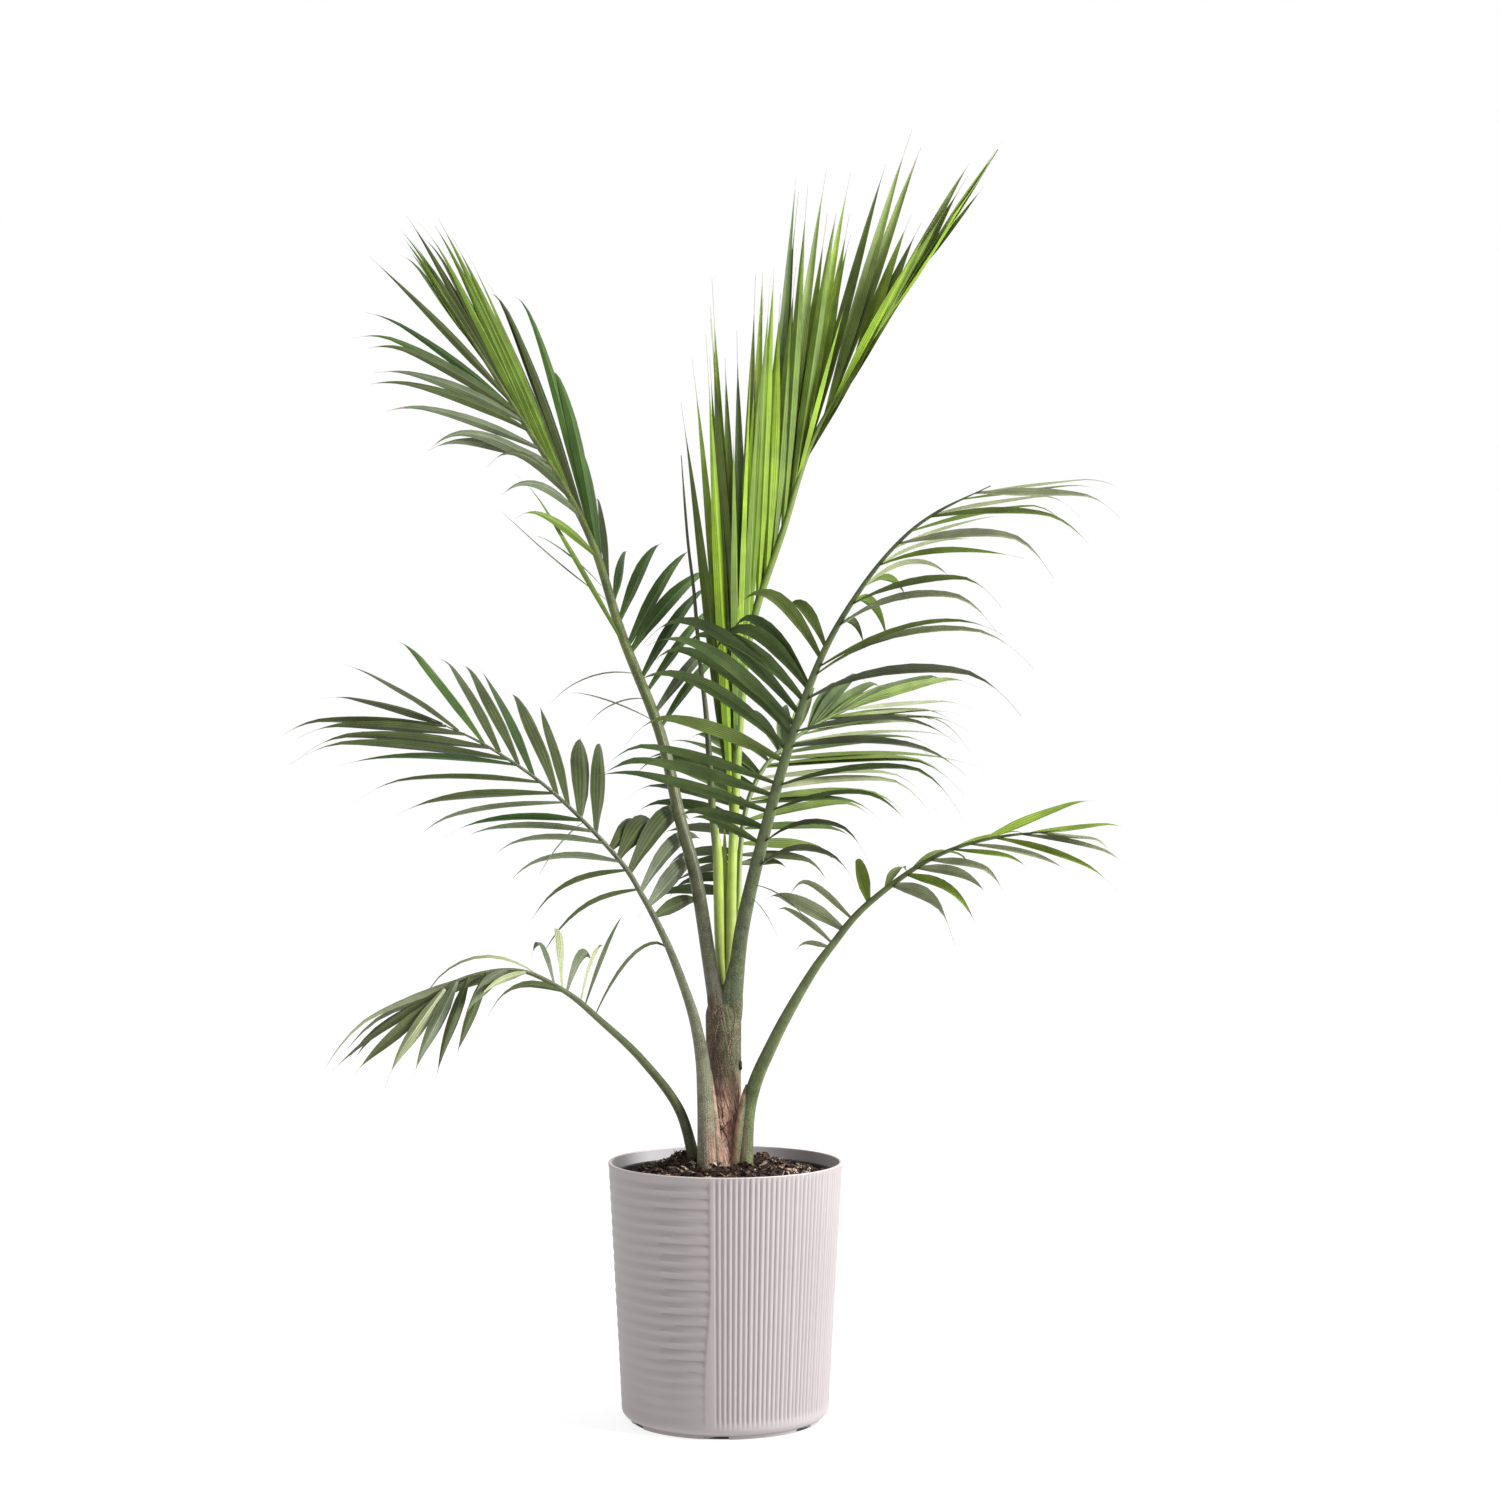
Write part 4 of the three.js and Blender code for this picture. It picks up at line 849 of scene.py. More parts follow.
# %% Frond shapes
Frond = namedtuple("Frond", "seed wild groove flare radius taper sag early bundle rib back front")
Side = namedtuple("Side", "count wider loose crowd span width tilt bow hang tones margin")
FRONDS = {
    "lower_left": Frond(
        13, 3, 0.5, 0.1, (6.8, 5.4, 4.6, 3.4, 2.2, 1.2), 1.7, 0.14, (0.0, 0.02, 0.01), 0,
        [(-31, -6, 268), (-49, -20, 336), (-88, -60, 395), (-130, -105, 441), (-167, -135, 475),
        (-214, -170, 499), (-270, -205, 491), (-300, -225, 463)],
        Side(12, 1.0, 1.0, 1, (0.525, 0.9), (6, 8, 12, 12, 10, 12, 12, 11, 10), (15, 15),
        (0.25, 0, 0.5, 0.7, 0.5, 0.06, 0.05, 0.03, 0.02),
        (0.35, 0, 0.5, 0.7, 0.5, 0.1, 0.1, 0.08, 0.06), "oyp yop yp ypp oyp", [(-48, -30, 515),
        (-125, -50, 554), (-129, -60, 499), (-186, -90, 514), (-234, -120, 503),
        (-413, -200, 413), (-397, -215, 429), (-399, -235, 399), (-390, -245, 406)]),
        Side(9, 1.0, 1.2, 0.5, (0.59, 0.985), (9, 9, 10, 13, 13, 14, 13),
        (60, 60, 20, 0, 0, 0, 0), (0.12, 0.03, 0, 0, 0, 0, 0),
        (0.35, 0.05, 0.05, 0.03, 0.03, 0.02, 0.02), "oyp ypp ogy oyp", [(-241, -250, 428),
        (-250, -260, 479), (-256, -262, 466), (-265, -268, 418), (-298, -272, 410),
        (-332, -275, 399), (-366, -265, 405)])),
    "middle_left": Frond(
        11, 3, 0.35, 0.1, (10.5, 9, 5.6, 3.6, 2.6, 1.9, 1.2), 1.7, 0.09, (0.0, 0.02, 0.01), 0,
        [(-19, -29, 268), (-21, -30, 348), (-24, -33, 392), (-32, -36, 435), (-46, -40, 478),
        (-63, -46, 521), (-86, -52, 566), (-114, -60, 610), (-181, -85, 680), (-247, -110, 728),
        (-306, -130, 757)],
        Side(16, 1.6, 1.2, 1, (0.47, 0.99), (12, 15, 15, 18, 18, 17, 15, 12), (15, 15),
        (0.06, 0.15, 0.2, 0.04, 0.03, 0.03, 0.02, 0.02), (0.1, 0.3, 0.4, 0.05, 0.03, 0.02, 0, 0),
        "doy ooy oyo dog ogo", [(-20, 30, 560), (-27, 40, 602), (-33, 50, 639), (-44, 45, 658),
        (-83, 40, 628), (-127, 35, 730), (-168, 25, 762), (-203, 20, 784), (-251, 10, 814),
        (-282, -5, 833), (-299, -15, 831), (-342, -30, 856), (-397, -60, 831), (-436, -110, 790)]),
        Side(14, 0.9, 1.2, 1, (0.53, 0.985), (15, 16, 15, 12), (62, 68, 62, 40),
        (0.12, 0.07, 0.05, 0.04, 0.03), (0.3, 0.15, 0.1, 0.06, 0.03), "oy yd oyd ogo",
        [(-197, -115, 497), (-234, -130, 571), (-254, -140, 614), (-302, -155, 640),
        (-338, -170, 638), (-380, -185, 686), (-431, -200, 723), (-448, -195, 739),
        (-449, -170, 753)])),
    "upper_left": Frond(
        17, 3, 0.35, 0.04, (8, 7.2, 6.4, 5.0, 3.2, 1.6), 1.2, 0.09, (0.05, 0.03, 0.05, 0.11), 0,
        [(-9, -6, 440), (-19, -10, 508), (-32, -6, 588), (-48, 0, 648), (-71, 12, 745),
        (-113, 30, 851), (-155, 55, 973), (-234, 85, 1104), (-288, 105, 1190), (-330, 118, 1254)],
        Side(28, 1.0, 1.5, 1, (0.4, 0.985), (13, 15, 16, 17, 13, 13, 12, 11, 10, 9), (20, 20),
        (0.1, 0.1, 0.12, 0.14, 0.03, 0.02, 0.02, 0.02, 0),
        (0.1, 0.12, 0.2, 0.25, 0.02, 0, 0, 0, 0), "dgy gdo gof of fgo gfo", [(21, 110, 848),
        (-5, 115, 902), (-27, 120, 961), (-117, 120, 965), (-204, 125, 1178), (-275, 150, 1277),
        (-307, 150, 1307), (-329, 150, 1337), (-347, 145, 1334), (-362, 140, 1329),
        (-373, 138, 1323), (-379, 135, 1317)]),
        Side(13, 1.0, 1.8, 0.5, (0.5, 0.9), (8, 13, 14, 12, 13, 14, 13, 12, 10), (30, 30),
        (0.02, 0.15, 0.16, 0.08, 0.06, 0.06, 0.05, 0.05, 0.03),
        (0.02, 0.35, 0.35, 0.12, 0.1, 0.08, 0.06, 0.05, 0.02), "fy yo oyd god",
        [(-223, 20, 1035), (-234, -30, 972), (-245, -20, 1014), (-285, -10, 1046),
        (-336, 0, 1064), (-357, 0, 1099), (-393, 5, 1130), (-388, 10, 1161), (-392, 15, 1181),
        (-421, 25, 1207), (-392, 70, 1263)])),
    "top": Frond(
        19, 4, 0.2, 0.28, (4.6, 5.2, 5, 3.4, 2.4, 1.6), 1.4, 0.03, (0.18, 0.12, 0.07, 0.1, 0.15),
        8.0,
        [(5, 9, 440), (7, 9, 496), (8, 12, 616), (17, 20, 779), (30, 27, 867), (63, 35, 966),
        (97, 45, 1068), (161, 58, 1174), (239, 78, 1294), (304, 95, 1396)],
        Side(28, 1.15, 2.6, 1.5, (0.35, 0.96), (12, 14, 13, 12, 10), (20, 20), (0, 0),
        (0.03, 0.01, 0), "fbf fbg fbf bff", [(-50, 70, 1191), (-26, 72, 1206), (-8, 75, 1224),
        (19, 85, 1265), (48, 92, 1308), (95, 97, 1354), (135, 102, 1388), (159, 104, 1360),
        (204, 106, 1418), (229, 104, 1336), (269, 102, 1397), (302, 100, 1396)]),
        Side(22, 1.15, 2.6, 1.4, (0.37, 0.955), (12, 13, 12, 9), (20, 20), (0, 0),
        (0.03, 0.01, 0), "gfb fb bff bf", [(-9, -30, 1153), (20, -20, 1154), (45, 0, 1222),
        (70, 15, 1278), (105, 30, 1319), (181, 45, 1224), (231, 55, 1304), (284, 65, 1369),
        (309, 80, 1372)])),
    "upper_right": Frond(
        23, 4, 0.35, 0.04, (9, 7.7, 6.0, 3.9, 2.2, 1.3), 1.4, 0.17, (0.0, 0.0, 0.05, 0.05, 0.0),
        0,
        [(9, -6, 440), (11, -12, 467), (18, -24, 531), (37, -46, 616), (67, -82, 726),
        (101, -110, 821), (139, -135, 888), (178, -155, 937), (217, -172, 968), (272, -195, 994)],
        Side(25, 0.96, 1.4, 1, (0.29, 0.98), (11, 13, 14, 15, 16, 16, 15, 14, 12, 11), (15, 15),
        (0.04, 0.05, 0.06, 0.14, 0.2, 0.25, 0.3, 0.5, 0.3, 0.08, 0.03, 0.02),
        (0.05, 0.05, 0.1, 0.25, 0.3, 0.4, 0.45, 0.4, 0.25, 0.06, 0.02, 0),
        "dg dgf dgg gof pyf ppf", [(-21, -10, 647), (-128, -35, 699), (-127, -45, 742),
        (-82, -50, 829), (-91, -55, 848), (-18, -45, 830), (25, -40, 879), (146, -60, 842),
        (201, -90, 891), (297, -110, 964), (372, -140, 991), (403, -170, 1012)]),
        Side(15, 1.0, 1.6, 1, (0.25, 0.975), (9, 12, 13, 13, 13, 11), (50, 45, 30),
        (0.22, 0.12, 0.08, 0.08, 0.12, 0.14, 0.14, 0.1, 0.08, 0.03),
        (0.2, 0.15, 0.1, 0.1, 0.12, 0.14, 0.1, 0.05, 0.15, 0.05), "gyo ypf pyf pfb",
        [(146, -130, 589), (151, -190, 651), (234, -225, 684), (245, -255, 730),
        (295, -270, 809), (290, -272, 846), (297, -275, 888), (289, -275, 913), (360, -270, 925),
        (396, -250, 973)])),
    "lower_right": Frond(
        29, 3, 0.4, 0.15, (7, 8, 6.4, 4.4, 3.4, 2.2, 1.3), 1.7, 0.16, (0.0, 0.02, 0.01), 0,
        [(22, -20, 268), (27, -17, 347), (52, -45, 414), (87, -80, 481), (113, -102, 520),
        (148, -125, 563), (210, -160, 611), (269, -190, 634), (340, -225, 644)],
        Side(10, 1.0, 1.2, 1.6, (0.5, 0.975), (6, 6, 15, 9, 15, 15, 15, 12, 15, 16), (15, 15),
        (0.05, 0.12, 0.1, 0.12, 0, 0.6, 0.1, 0.03, 0.02),
        (0.3, 0.1, 0.05, 0.3, 0, 0.6, 0.05, 0.02, 0), "pp ppb ppf bbp", [(76, -30, 491),
        (50, -40, 559), (43, -40, 580), (93, -50, 588), (163, -60, 615), (233, -90, 582),
        (308, -130, 631), (383, -160, 676), (417, -230, 652)]),
        Side(9, 1.0, 1.2, 1, (0.66, 0.975), (14, 14, 11, 8, 13), (10, 20, 30),
        (0.14, 0.06, 0.03, 0.06, 0.02), (0.22, 0.12, 0.06, 0.1, 0), "ppb pp bpp bp",
        [(242, -240, 536), (268, -240, 587), (304, -260, 613), (395, -280, 598),
        (392, -270, 633)])),
    "rear": Frond(
        37, 6, 0.2, 0.2, (3.3, 3.2, 2.8, 2, 1.2), 1.3, 0.19, (0.0, 0.03, 0.07, 0.11), 0,
        [(0, 18, 440), (13, 32, 544), (16, 52, 614), (25, 75, 669), (49, 105, 713),
        (97, 150, 751), (156, 200, 779), (208, 250, 795)],
        Side(24, 1.1, 2.0, 1, (0.26, 0.975), (11, 13, 14, 12), (15, 15), (0.1, 0.1, 0.08, 0.06),
        (0.12, 0.1, 0.06, 0.05), "dgy dg dgf", [(-80, 100, 551), (-73, 120, 604),
        (-130, 150, 708), (-71, 190, 742), (74, 250, 795), (211, 300, 817), (300, 330, 805)]),
        Side(22, 1.0, 2.2, 1, (0.32, 0.975), (12, 15, 15, 12), (30, 30), (0.06, 0.05, 0.02),
        (0.12, 0.08, 0.03), "gfo gfp fgp", [(82, 60, 581), (166, 90, 644), (235, 120, 681),
        (286, 150, 704), (255, 200, 750), (281, 240, 767), (301, 280, 791)])),
}
print("fronds:", list(FRONDS))

# %% [markdown]
# ## Smooth lines
# A leaflet or a stalk never has a corner, so points are joined by a smooth curve that passes
# through each of them. The curve is measured once, which lets the rest of the script ask for a
# place at any distance along it.

# %% Curves through points
ROOT_LENGTH = 0.01
LINE_SAMPLES = 240


def point_on(points, u):
    """The point at share u of a smooth line through points."""
    last = len(points) - 1
    place = u * last
    i = min(int(place), last - 1)
    w = place - i
    here, there = points[i], points[i + 1]
    before = points[i - 1] if i > 0 else here * 2 - there
    after = points[i + 2] if i + 2 <= last else there * 2 - here
    leave, arrive = (there - before) / 2, (after - here) / 2
    bend = (there - here) * 3 - leave * 2 - arrive
    return here + leave * w + bend * w ** 2 + ((here - there) * 2 + leave + arrive) * w ** 3


class Line:
    """A smooth line that can be asked for its point and direction at a distance from its start."""

    def __init__(self, points):
        self.points = [point_on(points, i / LINE_SAMPLES) for i in range(LINE_SAMPLES + 1)]
        self.reach = [0.0]
        for here, there in zip(self.points, self.points[1:]):
            self.reach.append(self.reach[-1] + (there - here).length)
        self.length = self.reach[-1]

    def at(self, distance):
        i = 1
        while i < len(self.points) - 1 and self.reach[i] < distance:
            i += 1
        share = (distance - self.reach[i - 1]) / (self.reach[i] - self.reach[i - 1])
        return self.points[i - 1].lerp(self.points[i], share)

    def direction(self, distance):
        step = self.length / 200
        before = self.at(max(0, distance - step))
        return (self.at(min(self.length, distance + step)) - before).normalized()


def metres(points):
    return [Vector(point) * MM for point in points]


def rooted(points):
    """A line with one more point before the first, so that it starts inside what carries it."""
    points = metres(points)
    away = (points[0] - points[1]).normalized()
    return Line([points[0] + away * ROOT_LENGTH] + points)


ribs = {name: rooted(frond.rib) for name, frond in FRONDS.items()}
print("rib lengths:", {name: round(rib.length, 3) for name, rib in ribs.items()})

# %% [markdown]
# ## Stalk finish
# A palm stalk is grey-brown and scurfy at its foot and turns green further up. Its upper side has
# a shallow groove, which the sweep shapes; its colour is not darkened there. The colour follows the
# length of the stalk through its own UV map, where V runs from foot to tip and U goes round.

# %% Stalk material
def blushed(tree, spot, parts, colour, tone, low, high):
    """Turns the side of a foot that lies against the stem rosy and fibrous."""
    apart = calc(tree, "ABSOLUTE", calc(tree, "SUBTRACT", (parts, 0), 0.5))
    both = calc(tree, "MULTIPLY", graded(tree, apart, 0.13, 0.25),
                graded(tree, (parts, 1), high, low))
    rosy = mottled(tree, spot, 90.0, 0.8, tinted(tone, 0.45), tinted(tone, 1.25))
    lined, _ = threaded(tree, spot, rosy, 0.5, 380.0, -0.6, 0.48)
    return blended(tree, both, colour, lined)


def stalk_material(name, foot, low, high, scurfy, *blush):
    """Changes from foot to low to high colour along the stalk, with pale scurf over it."""
    material, tree, spot, uv = new_material("stalk_" + name, 0.42, 0.45)
    parts = add_node(tree, "ShaderNodeSeparateXYZ", Vector=uv)
    dark, light = (0.62, 1.16) if scurfy else (0.84, 1.06)
    bands = [mottled(tree, spot, scale, 0.7, tinted(colour, dark), tinted(colour, light))
             for colour, scale in ((foot, 80.0), (low, 55.0), (high, 45.0))]
    lower = blended(tree, graded(tree, (parts, 1), 0.03, 0.11), bands[0], bands[1])
    whole = blended(tree, graded(tree, (parts, 1), 0.12, 0.5), lower, bands[2])
    if blush:
        whole = blushed(tree, spot, parts, whole, *blush)
    specks = calc(tree, "MULTIPLY", speckled(tree, spot, 780.0, scurfy),
                  scaled(tree, (parts, 1), -1.6, 1.0))
    spotted = blended(tree, scaled(tree, specks, 0.75), whole, tinted(low, 2.3, 0.04))
    lines = (use_group(tree, veins, Vector=uv, Count=22.0), "Lines")
    streaked = blended(tree, scaled(tree, lines, 0.22), spotted, tinted(low, 0.5))
    coat(tree, lines, 0.3, 0.0005, Base_Color=streaked)
    return material


# Each stalk: its foot, low and high colours, how scurfy it is, and a rosy tone with its two ends
STALK_COLOURS = {
    "lower_left": ((0.095, 0.09, 0.055), (0.085, 0.10, 0.042), (0.075, 0.095, 0.030), 0.5),
    "middle_left": ((0.20, 0.165, 0.115), (0.150, 0.152, 0.092), (0.080, 0.098, 0.040), 0.8,
                    (0.42, 0.235, 0.18), 0.05, 0.15),
    "upper_left": ((0.115, 0.105, 0.070), (0.088, 0.092, 0.048), (0.14, 0.18, 0.045), 0.6),
    "top": ((0.30, 0.37, 0.075), (0.33, 0.43, 0.075), (0.11, 0.17, 0.025), 0.0),
    "upper_right": ((0.075, 0.085, 0.040), (0.060, 0.078, 0.028), (0.085, 0.118, 0.032), 0.8),
    "lower_right": ((0.115, 0.125, 0.062), (0.085, 0.110, 0.034), (0.100, 0.135, 0.034), 0.8,
                    (0.42, 0.245, 0.185), 0.04, 0.17),
    "rear": ((0.30, 0.37, 0.09), (0.31, 0.41, 0.09), (0.10, 0.15, 0.03), 0.0),
    "spear": ((0.34, 0.39, 0.09), (0.27, 0.35, 0.08), (0.05, 0.055, 0.025), 0.0),
}
stalk_finishes = {name: stalk_material(name, *values) for name, values in STALK_COLOURS.items()}
print("stalk finishes:", len(stalk_finishes))

# %% [markdown]
# ## Stalks and ribs
# Each stalk is swept along its rib in one piece, from its clasping foot to the tip of the blade.
# Its section is round below and grooved above. Above means the side that faces the plant's middle
# on the upright part and the sky on the arching part, so the frame turns with the bend.

# %% Sweep a stalk
STALK_CORNERS = 16


def sweep_stalk(heap, line, radii, groove=0.0, flare=0.0, steps=90, last_v=1.0):
    """Sweeps a section along a line, with V running up to last_v and a closed end at each side."""
    outward = line.points[-1] - line.points[0]
    outward.z = 0
    outward.normalize()
    points = []
    for i in range(steps + 1):
        share = i / steps
        centre, forward = line.at(share * line.length), line.direction(share * line.length)
        upper = outward * -forward.z + UP * forward.dot(outward)
        upper = (upper - forward * upper.dot(forward)).normalized()
        across = forward.cross(upper)
        radius = along(radii, share) * MM * (1 + flare * ease(0.12, 0.0, share))
        radius *= 1 - 0.55 * ease(0.9, 1.0, share)
        hollow = groove * ease(0.1, 0.35, share)
        for k in range(STALK_CORNERS):
            angle = TURN * k / STALK_CORNERS
            lift = math.cos(angle)
            dent = 1 - hollow * max(0, lift) ** 3
            points.append(centre + (upper * (lift * dent) + across * math.sin(angle)) * radius)
    faces, uvs = weave([i / steps * last_v for i in range(steps + 1)], STALK_CORNERS)
    for row, order, level in ((0, -1, 0.0), (steps * STALK_CORNERS, 1, last_v)):
        faces.append(tuple(range(row, row + STALK_CORNERS))[::order])
        uvs.append([(0.5, level)] * STALK_CORNERS)
    heap.add(points, faces, 0, uvs)


def sweep_piece(name, slot, finish, sweeps, replaced=None, **shape):
    """A piece of one or more sweeps, each given by its line and its radii."""
    heap = Heap()
    for line, radii in sweeps:
        sweep_stalk(heap, line, radii, **shape)
    heap.make(name, slot, [stalk_finishes[finish]], replaced, smooth=60)


for name, frond in FRONDS.items():
    sweep_piece("petiole_" + name, "stalk", name, [(ribs[name], frond.radius)], "stalk_" + name,
                groove=frond.groove, flare=frond.flare)

# %% [markdown]
# ## Spear
# The newest leaf has not opened yet. It stands up from the middle as a thin rod, pale green below
# and drying to grey-brown at its point.

# %% Spear
SPEAR_RIB = [(-6, 9, 440), (-8, 6, 587), (-14, 5, 660), (-20, 5, 755), (-28, 5, 826),
             (-34, 5, 896), (-41, 5, 955), (-48, 5, 1045)]
SPEAR_RADII = (4.2, 5, 4.2, 2.6, 1.8, 1.1)
sweep_piece("spear_leaf", "spear", "spear", [(rooted(SPEAR_RIB), SPEAR_RADII)], "spear",
            groove=0.1, flare=0.3)

# %% [markdown]
# Where the stem forks, each clasping stalk carries the thin edge of its sheath, which closes round
# the younger leaves below. The two stalks at the stem's foot carry one too. Three pale young
# sheaths stand in the fork, round the spear and the newest stalk, and run together at its point.
# All of these are short sweeps that fade into their stalks.

# %% Sheath edges and young sheaths
SHEATH_EDGES = {
    "upper_left": ([(-3, -6, 436), (-6.5, -7, 455), (-10.8, -8.3, 471), (-15, -9.4, 490),
                    (-19.5, -9.9, 512)], (9, 8.6, 7.8, 6.6, 4.6)),
    "upper_right": ([(1, -6, 436), (3.6, -8.4, 455), (7, -11.6, 471), (10.6, -15.6, 490),
                     (15, -21, 512)], (9, 8.9, 8.3, 7, 4.6)),
    "middle_left": ([(-8, -25.5, 262), (-9, -26.5, 290), (-11, -28, 320), (-14, -30, 352),
                     (-18, -31.5, 388)], (6.2, 5.8, 5, 3.8, 2.4)),
    "lower_right": ([(11.5, -19, 262), (12.5, -19.5, 285), (14.5, -20, 310), (18, -20.5, 335),
                     (23, -21, 364)], (6.4, 6, 5.2, 4, 2.6)),
}
YOUNG_SHEATHS = [
    ([(-2.4, 7, 452), (-3.6, 5, 472), (-5.6, 4, 500), (-6.6, 3.4, 529), (-7.4, 4, 575),
      (-9, 5, 640)], (3.6, 4.6, 5.5, 5.7, 5.5, 3.6)),
    ([(0.2, 8, 452), (1.4, 7, 472), (4.2, 6.4, 500), (5.4, 6, 529), (6.6, 7.4, 575),
      (8.6, 11.4, 640)], (3.4, 4.0, 4.8, 5.0, 5.0, 3.8)),
    ([(-0.5, 16, 452), (-0.4, 15, 500), (0, 15, 560), (-1, 14, 640)], (3, 3.4, 3.2, 1.5)),
]
for name, (points, radii) in SHEATH_EDGES.items():
    sweep_piece("sheath_edge_" + name, "stalk", name, [(Line(metres(points)), radii)],
                steps=30, last_v=0.05)
sweep_piece("young_sheaths", "spear", "top",
            [(Line(metres(points)), radii) for points, radii in YOUNG_SHEATHS],
            steps=40, last_v=0.15)

# %% [markdown]
# ## Leaf finish
# Leaflets differ in tone from one to the next, with age and with the light they grew in. The
# differences that have a place are given by leaflet, each taking one of a few plain greens, from
# deep to fresh. The pale grey-green tone is painted light: it stands for the lamp's light and sheen
# on leaflets that catch it. On top of that come the fine lengthwise veins, a pale middle fold, soft
# mottling and a paler, duller underside. The very tips often dry to straw.

# %% Leaf materials
def leaf_material(name, colour, under, gloss=0.2):
    """A veined leaf in one tone above and a duller one below."""
    material, tree, spot, uv = new_material(name, 0.48, gloss)
    facing = add_node(tree, "ShaderNodeNewGeometry")
    lines = use_group(tree, veins, Vector=uv, Count=7.0)
    streak = scaled(tree, (lines, "Lines"), 0.75)
    sides = []
    for base, light, line in ((colour, 1.6, 0.48), (under, 1.7, 0.55)):
        tone = mottled(tree, spot, 24.0, 0.5, tinted(base, 0.85), tinted(base, light))
        sides.append(blended(tree, streak, tone, tinted(base, line)))
    fold = scaled(tree, (lines, "Fold"), 0.55)
    folded = blended(tree, fold, sides[0], tinted(colour, 1.7, 0.02))
    shown = blended(tree, scaled(tree, (facing, "Backfacing"), 0.75), folded, sides[1])
    coat(tree, (lines, "Lines"), 0.3, 0.0003, Base_Color=shown)
    return material


# Each tone's letter: its name, its colour above and below, and for some its gloss
TONES = {
    "d": ("leaf_deep", (0.031, 0.066, 0.014), (0.070, 0.100, 0.036)),
    "g": ("leaf_green", (0.053, 0.104, 0.020), (0.090, 0.130, 0.042)),
    "y": ("leaf_ash", (0.098, 0.123, 0.061), (0.122, 0.142, 0.078), 0.35),
    "f": ("leaf_fresh", (0.108, 0.172, 0.022), (0.15, 0.20, 0.055)),
    "b": ("leaf_bright", (0.178, 0.28, 0.020), (0.21, 0.30, 0.045)),
    "s": ("leaf_straw", (0.23, 0.19, 0.11), (0.26, 0.22, 0.14)),
    "o": ("leaf_olive", (0.051, 0.069, 0.020), (0.082, 0.096, 0.040)),
    # The pale tone is painted light, paler than the leaflets' own green, for the lamp's light and
    # sheen on leaflets that catch it
    "p": ("leaf_pale", (0.275, 0.310, 0.155), (0.290, 0.320, 0.180), 0.5),
}
TONE_ORDER = "".join(TONES)
leaf_finishes = [leaf_material(*values) for values in TONES.values()]
print("leaf finishes:", [material.name for material in leaf_finishes])

# %% [markdown]
# ## Leaflets
# A leaflet is narrow at its root, widest before its middle and drawn out to a thread that hangs
# a little. It is folded along its middle like a shallow roof. Modelled one by one they would take
# days, so a rule grows them: each runs from its place on the rib to its place on the margin, bows
# as the frond's lists say, and strays by a seeded chance. No two are quite as long, as wide or as
# bowed, which keeps a frond from looking like a comb. Their faces are gathered in arrays and
# become one mesh a frond, as is usual for foliage.

# %% Widths and curves of leaflets
STATIONS = [0, 0.04, 0.1, 0.18, 0.28, 0.39, 0.5, 0.6, 0.69, 0.77, 0.84, 0.89, 0.93, 0.97, 1]
ACROSS = [-1, -0.5, 0, 0.5, 1]
LEAFLET_FACES, LEAFLET_UVS = weave(STATIONS, len(ACROSS), closed=False, order=(0, 3, 2, 1))
SPREAD_FACTOR, SPREAD_PRIME = 16807, 2147483647


def make_spread(seed):
    """Repeatable numbers from -1 to 1, by the rule that the CAD source uses."""
    state = seed
    while True:
        state = (state * SPREAD_FACTOR) % SPREAD_PRIME
        yield (state / SPREAD_PRIME) * 2 - 1


def width_share(q, thread, taper):
    """Share of the full width at share q of a leaflet's length. It is a thread beyond thread."""
    if q <= 0.45:
        return 0.3 + 0.7 * min(1, q / 0.3)
    return max(0.07 * (1.3 - q), 1 - ((q - 0.45) / (thread - 0.43)) ** taper)


def bezier(line, q):
    r = 1 - q
    return (line[0] * r ** 3 + line[1] * (3 * r * r * q) + line[2] * (3 * r * q * q)
            + line[3] * q ** 3)


def bezier_direction(line, q):
    r = 1 - q
    slope = ((line[1] - line[0]) * (3 * r * r) + (line[2] - line[1]) * (6 * r * q)
             + (line[3] - line[2]) * (3 * q * q))
    return slope.normalized()

# %% One leaflet
def grow_leaflet(heap, line, forward, hand, width, tilt, slot, taper, droop, chance):
    """Adds one folded blade along a bowed line."""
    ahead = bezier_direction(line, 0)
    across = (forward - ahead * forward.dot(ahead)).normalized()
    across.rotate(Quaternion(ahead, math.radians(tilt * hand)))
    twist = math.radians(chance.uniform(-24, 24))
    wave = chance.uniform(0, 6.3)
    thread = chance.uniform(0.84, 0.97)
    sag = (line[3] - line[0]).length * chance.uniform(0.0, droop)
    dry_from = chance.choice([0.88, 0.92, 0.96, 2])
    points = []
    for q in STATIONS:
        following = bezier_direction(line, q)
        across.rotate(ahead.rotation_difference(following))
        across = (across - following * across.dot(following)).normalized()
        ahead = following
        centre = bezier(line, q) - UP * (sag * max(0, (q - 0.72) / 0.28) ** 2)
        turned = across.copy()
        turned.rotate(Quaternion(following, twist * q))
        upper = following.cross(turned) * hand
        half = width / 2 * width_share(q, thread, taper)
        fold = (0.62 - 0.34 * q) * half
        for s in ACROSS:
            ripple = 0.05 * half * math.sin(wave + 9 * q + 2 * s) * abs(s)
            lift = fold * (1 - abs(s)) + ripple
            points.append(centre + turned * (half * s * hand) + upper * lift)
    slots = [TONE_ORDER.index("s") if low >= dry_from else slot
             for low in STATIONS[:-1] for _ in ACROSS[1:]]
    heap.add(points, LEAFLET_FACES, slots, LEAFLET_UVS)

# %% [markdown]
# The tones are dealt out along each side of a frond: a leaflet draws one letter from the bag
# nearest to its place. A few dry threads, left of withered leaflets, hang from three fronds.

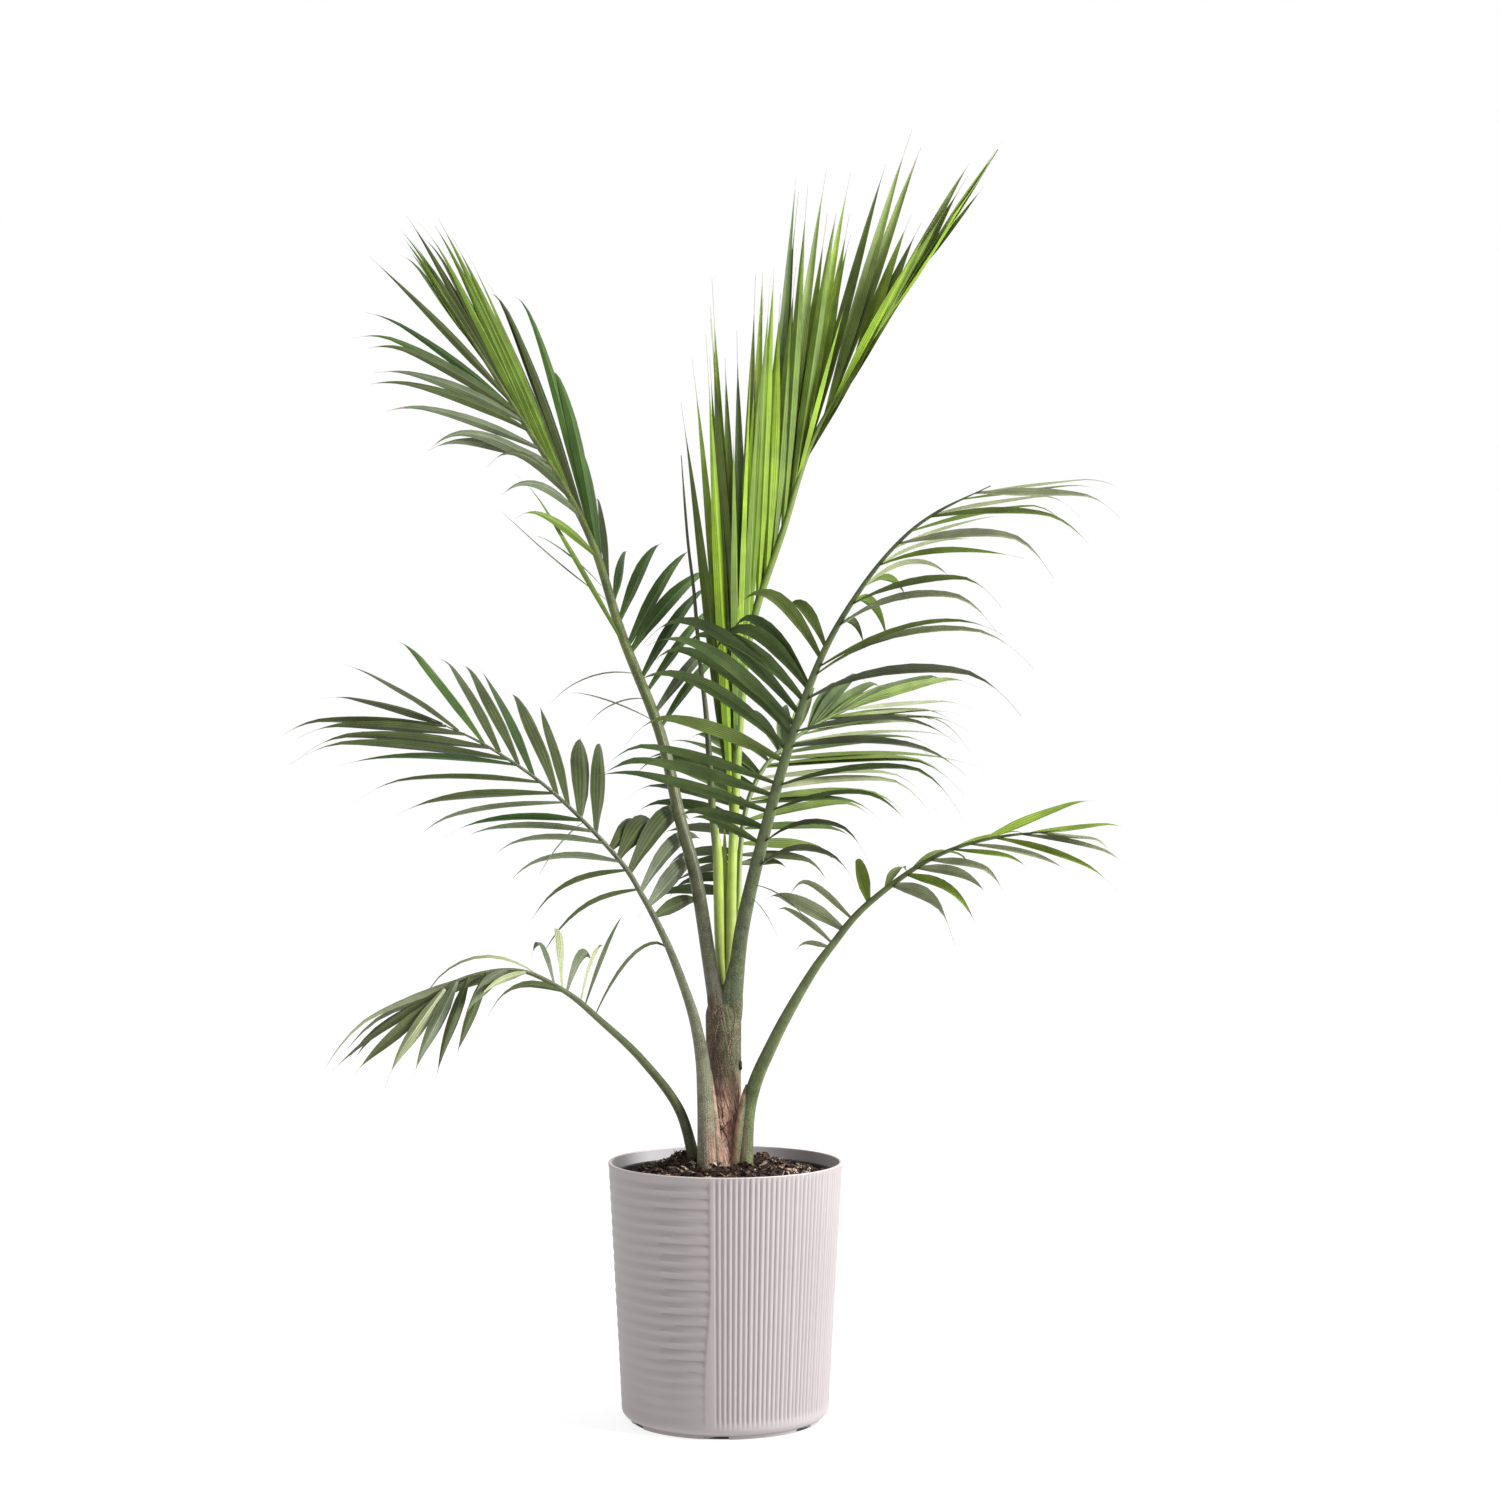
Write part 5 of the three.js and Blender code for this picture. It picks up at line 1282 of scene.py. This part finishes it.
# %% Grow one side of a frond
def grow_side(heap, frond, side, rib, hand):
    """Grows the leaflets of one side, 1 being the back and -1 the front."""
    spread = make_spread(frond.seed + hand + 1)
    chance = random.Random(frond.seed * 10 + hand)
    margin = metres(side.margin)
    bags = side.tones.split()
    low, high = side.span
    for i in range(side.count):
        stray = Vector([next(spread) for _ in range(3)]) * (frond.wild * side.loose * MM)
        u = i / (side.count - 1)
        place = min(1, max(0, u + chance.uniform(-0.3, 0.3) / side.count))
        distance = (low + (high - low) * place ** side.crowd) * rib.length
        distance -= along(frond.early, u) * chance.uniform(0.6, 1.0)
        base = rib.at(distance)
        loosely = frond.bundle * MM * ease(0.35, 0.0, u)
        base.x += loosely * (chance.uniform(-1, 0.6) if hand > 0 else chance.uniform(-0.6, 0.8))
        reach = min(1, max(0, u + chance.uniform(-0.3, 0.3) / side.count))
        chord = point_on(margin, reach) + stray - base
        chord *= chance.uniform(1 - 0.07 * side.loose, 1 + 0.03 * side.loose)
        tip = base + chord
        bow = chord.length * along(side.bow, u) * chance.uniform(0.7, 1.3)
        hang = chord.length * along(side.hang, u) * chance.uniform(0.7, 1.3)
        line = [base, base + chord / 3 + UP * bow, tip - chord / 3 + UP * hang, tip]
        width = along(side.width, u) * side.wider * MM * chance.uniform(0.8, 1.12)
        tone = TONE_ORDER.index(chance.choice(bags[min(len(bags) - 1, int(u * len(bags)))]))
        grow_leaflet(heap, line, rib.direction(distance), hand, width, along(side.tilt, u), tone,
                     frond.taper, frond.sag, chance)

# %% Grow every frond
# Each dry thread: where it hangs from, where it ends and the rise of its middle
THREAD_WIDTH = 1.8 * MM
THREADS = {
    "upper_left": [((-131, 38, 890), (-248, 8, 990), -6), ((-136, 40, 905), (-214, 4, 962), 10),
                   ((-91, 20, 806), (-194, -6, 773), 22), ((-77, 14, 756), (-177, -10, 789), 8),
                   ((-84, 17, 780), (-150, -20, 752), 14)],
    "upper_right": [((28, -34, 566), (62, -80, 512), 12), ((30, -38, 580), (98, -90, 530), 16)],
    "middle_left": [((-150, -72, 648), (-196, -120, 590), 10)],
}


def hang_threads(heap, name):
    chance = random.Random(FRONDS[name].seed)
    for start, end, rise in THREADS.get(name, []):
        base, tip = metres((start, end))
        up = UP * rise * MM
        line = [base, base.lerp(tip, 0.35) + up, base.lerp(tip, 0.7) + up, tip]
        grow_leaflet(heap, line, UP, 1, THREAD_WIDTH, 20, TONE_ORDER.index("y"), 1.5, 0.05, chance)


for name, frond in FRONDS.items():
    blade = Heap()
    grow_side(blade, frond, frond.back, ribs[name], 1)
    grow_side(blade, frond, frond.front, ribs[name], -1)
    hang_threads(blade, name)
    slot = "young_leaf" if name == "top" else "leaf"
    blade.make("leaflets_" + name, slot, leaf_finishes, "frond_" + name, smooth=45)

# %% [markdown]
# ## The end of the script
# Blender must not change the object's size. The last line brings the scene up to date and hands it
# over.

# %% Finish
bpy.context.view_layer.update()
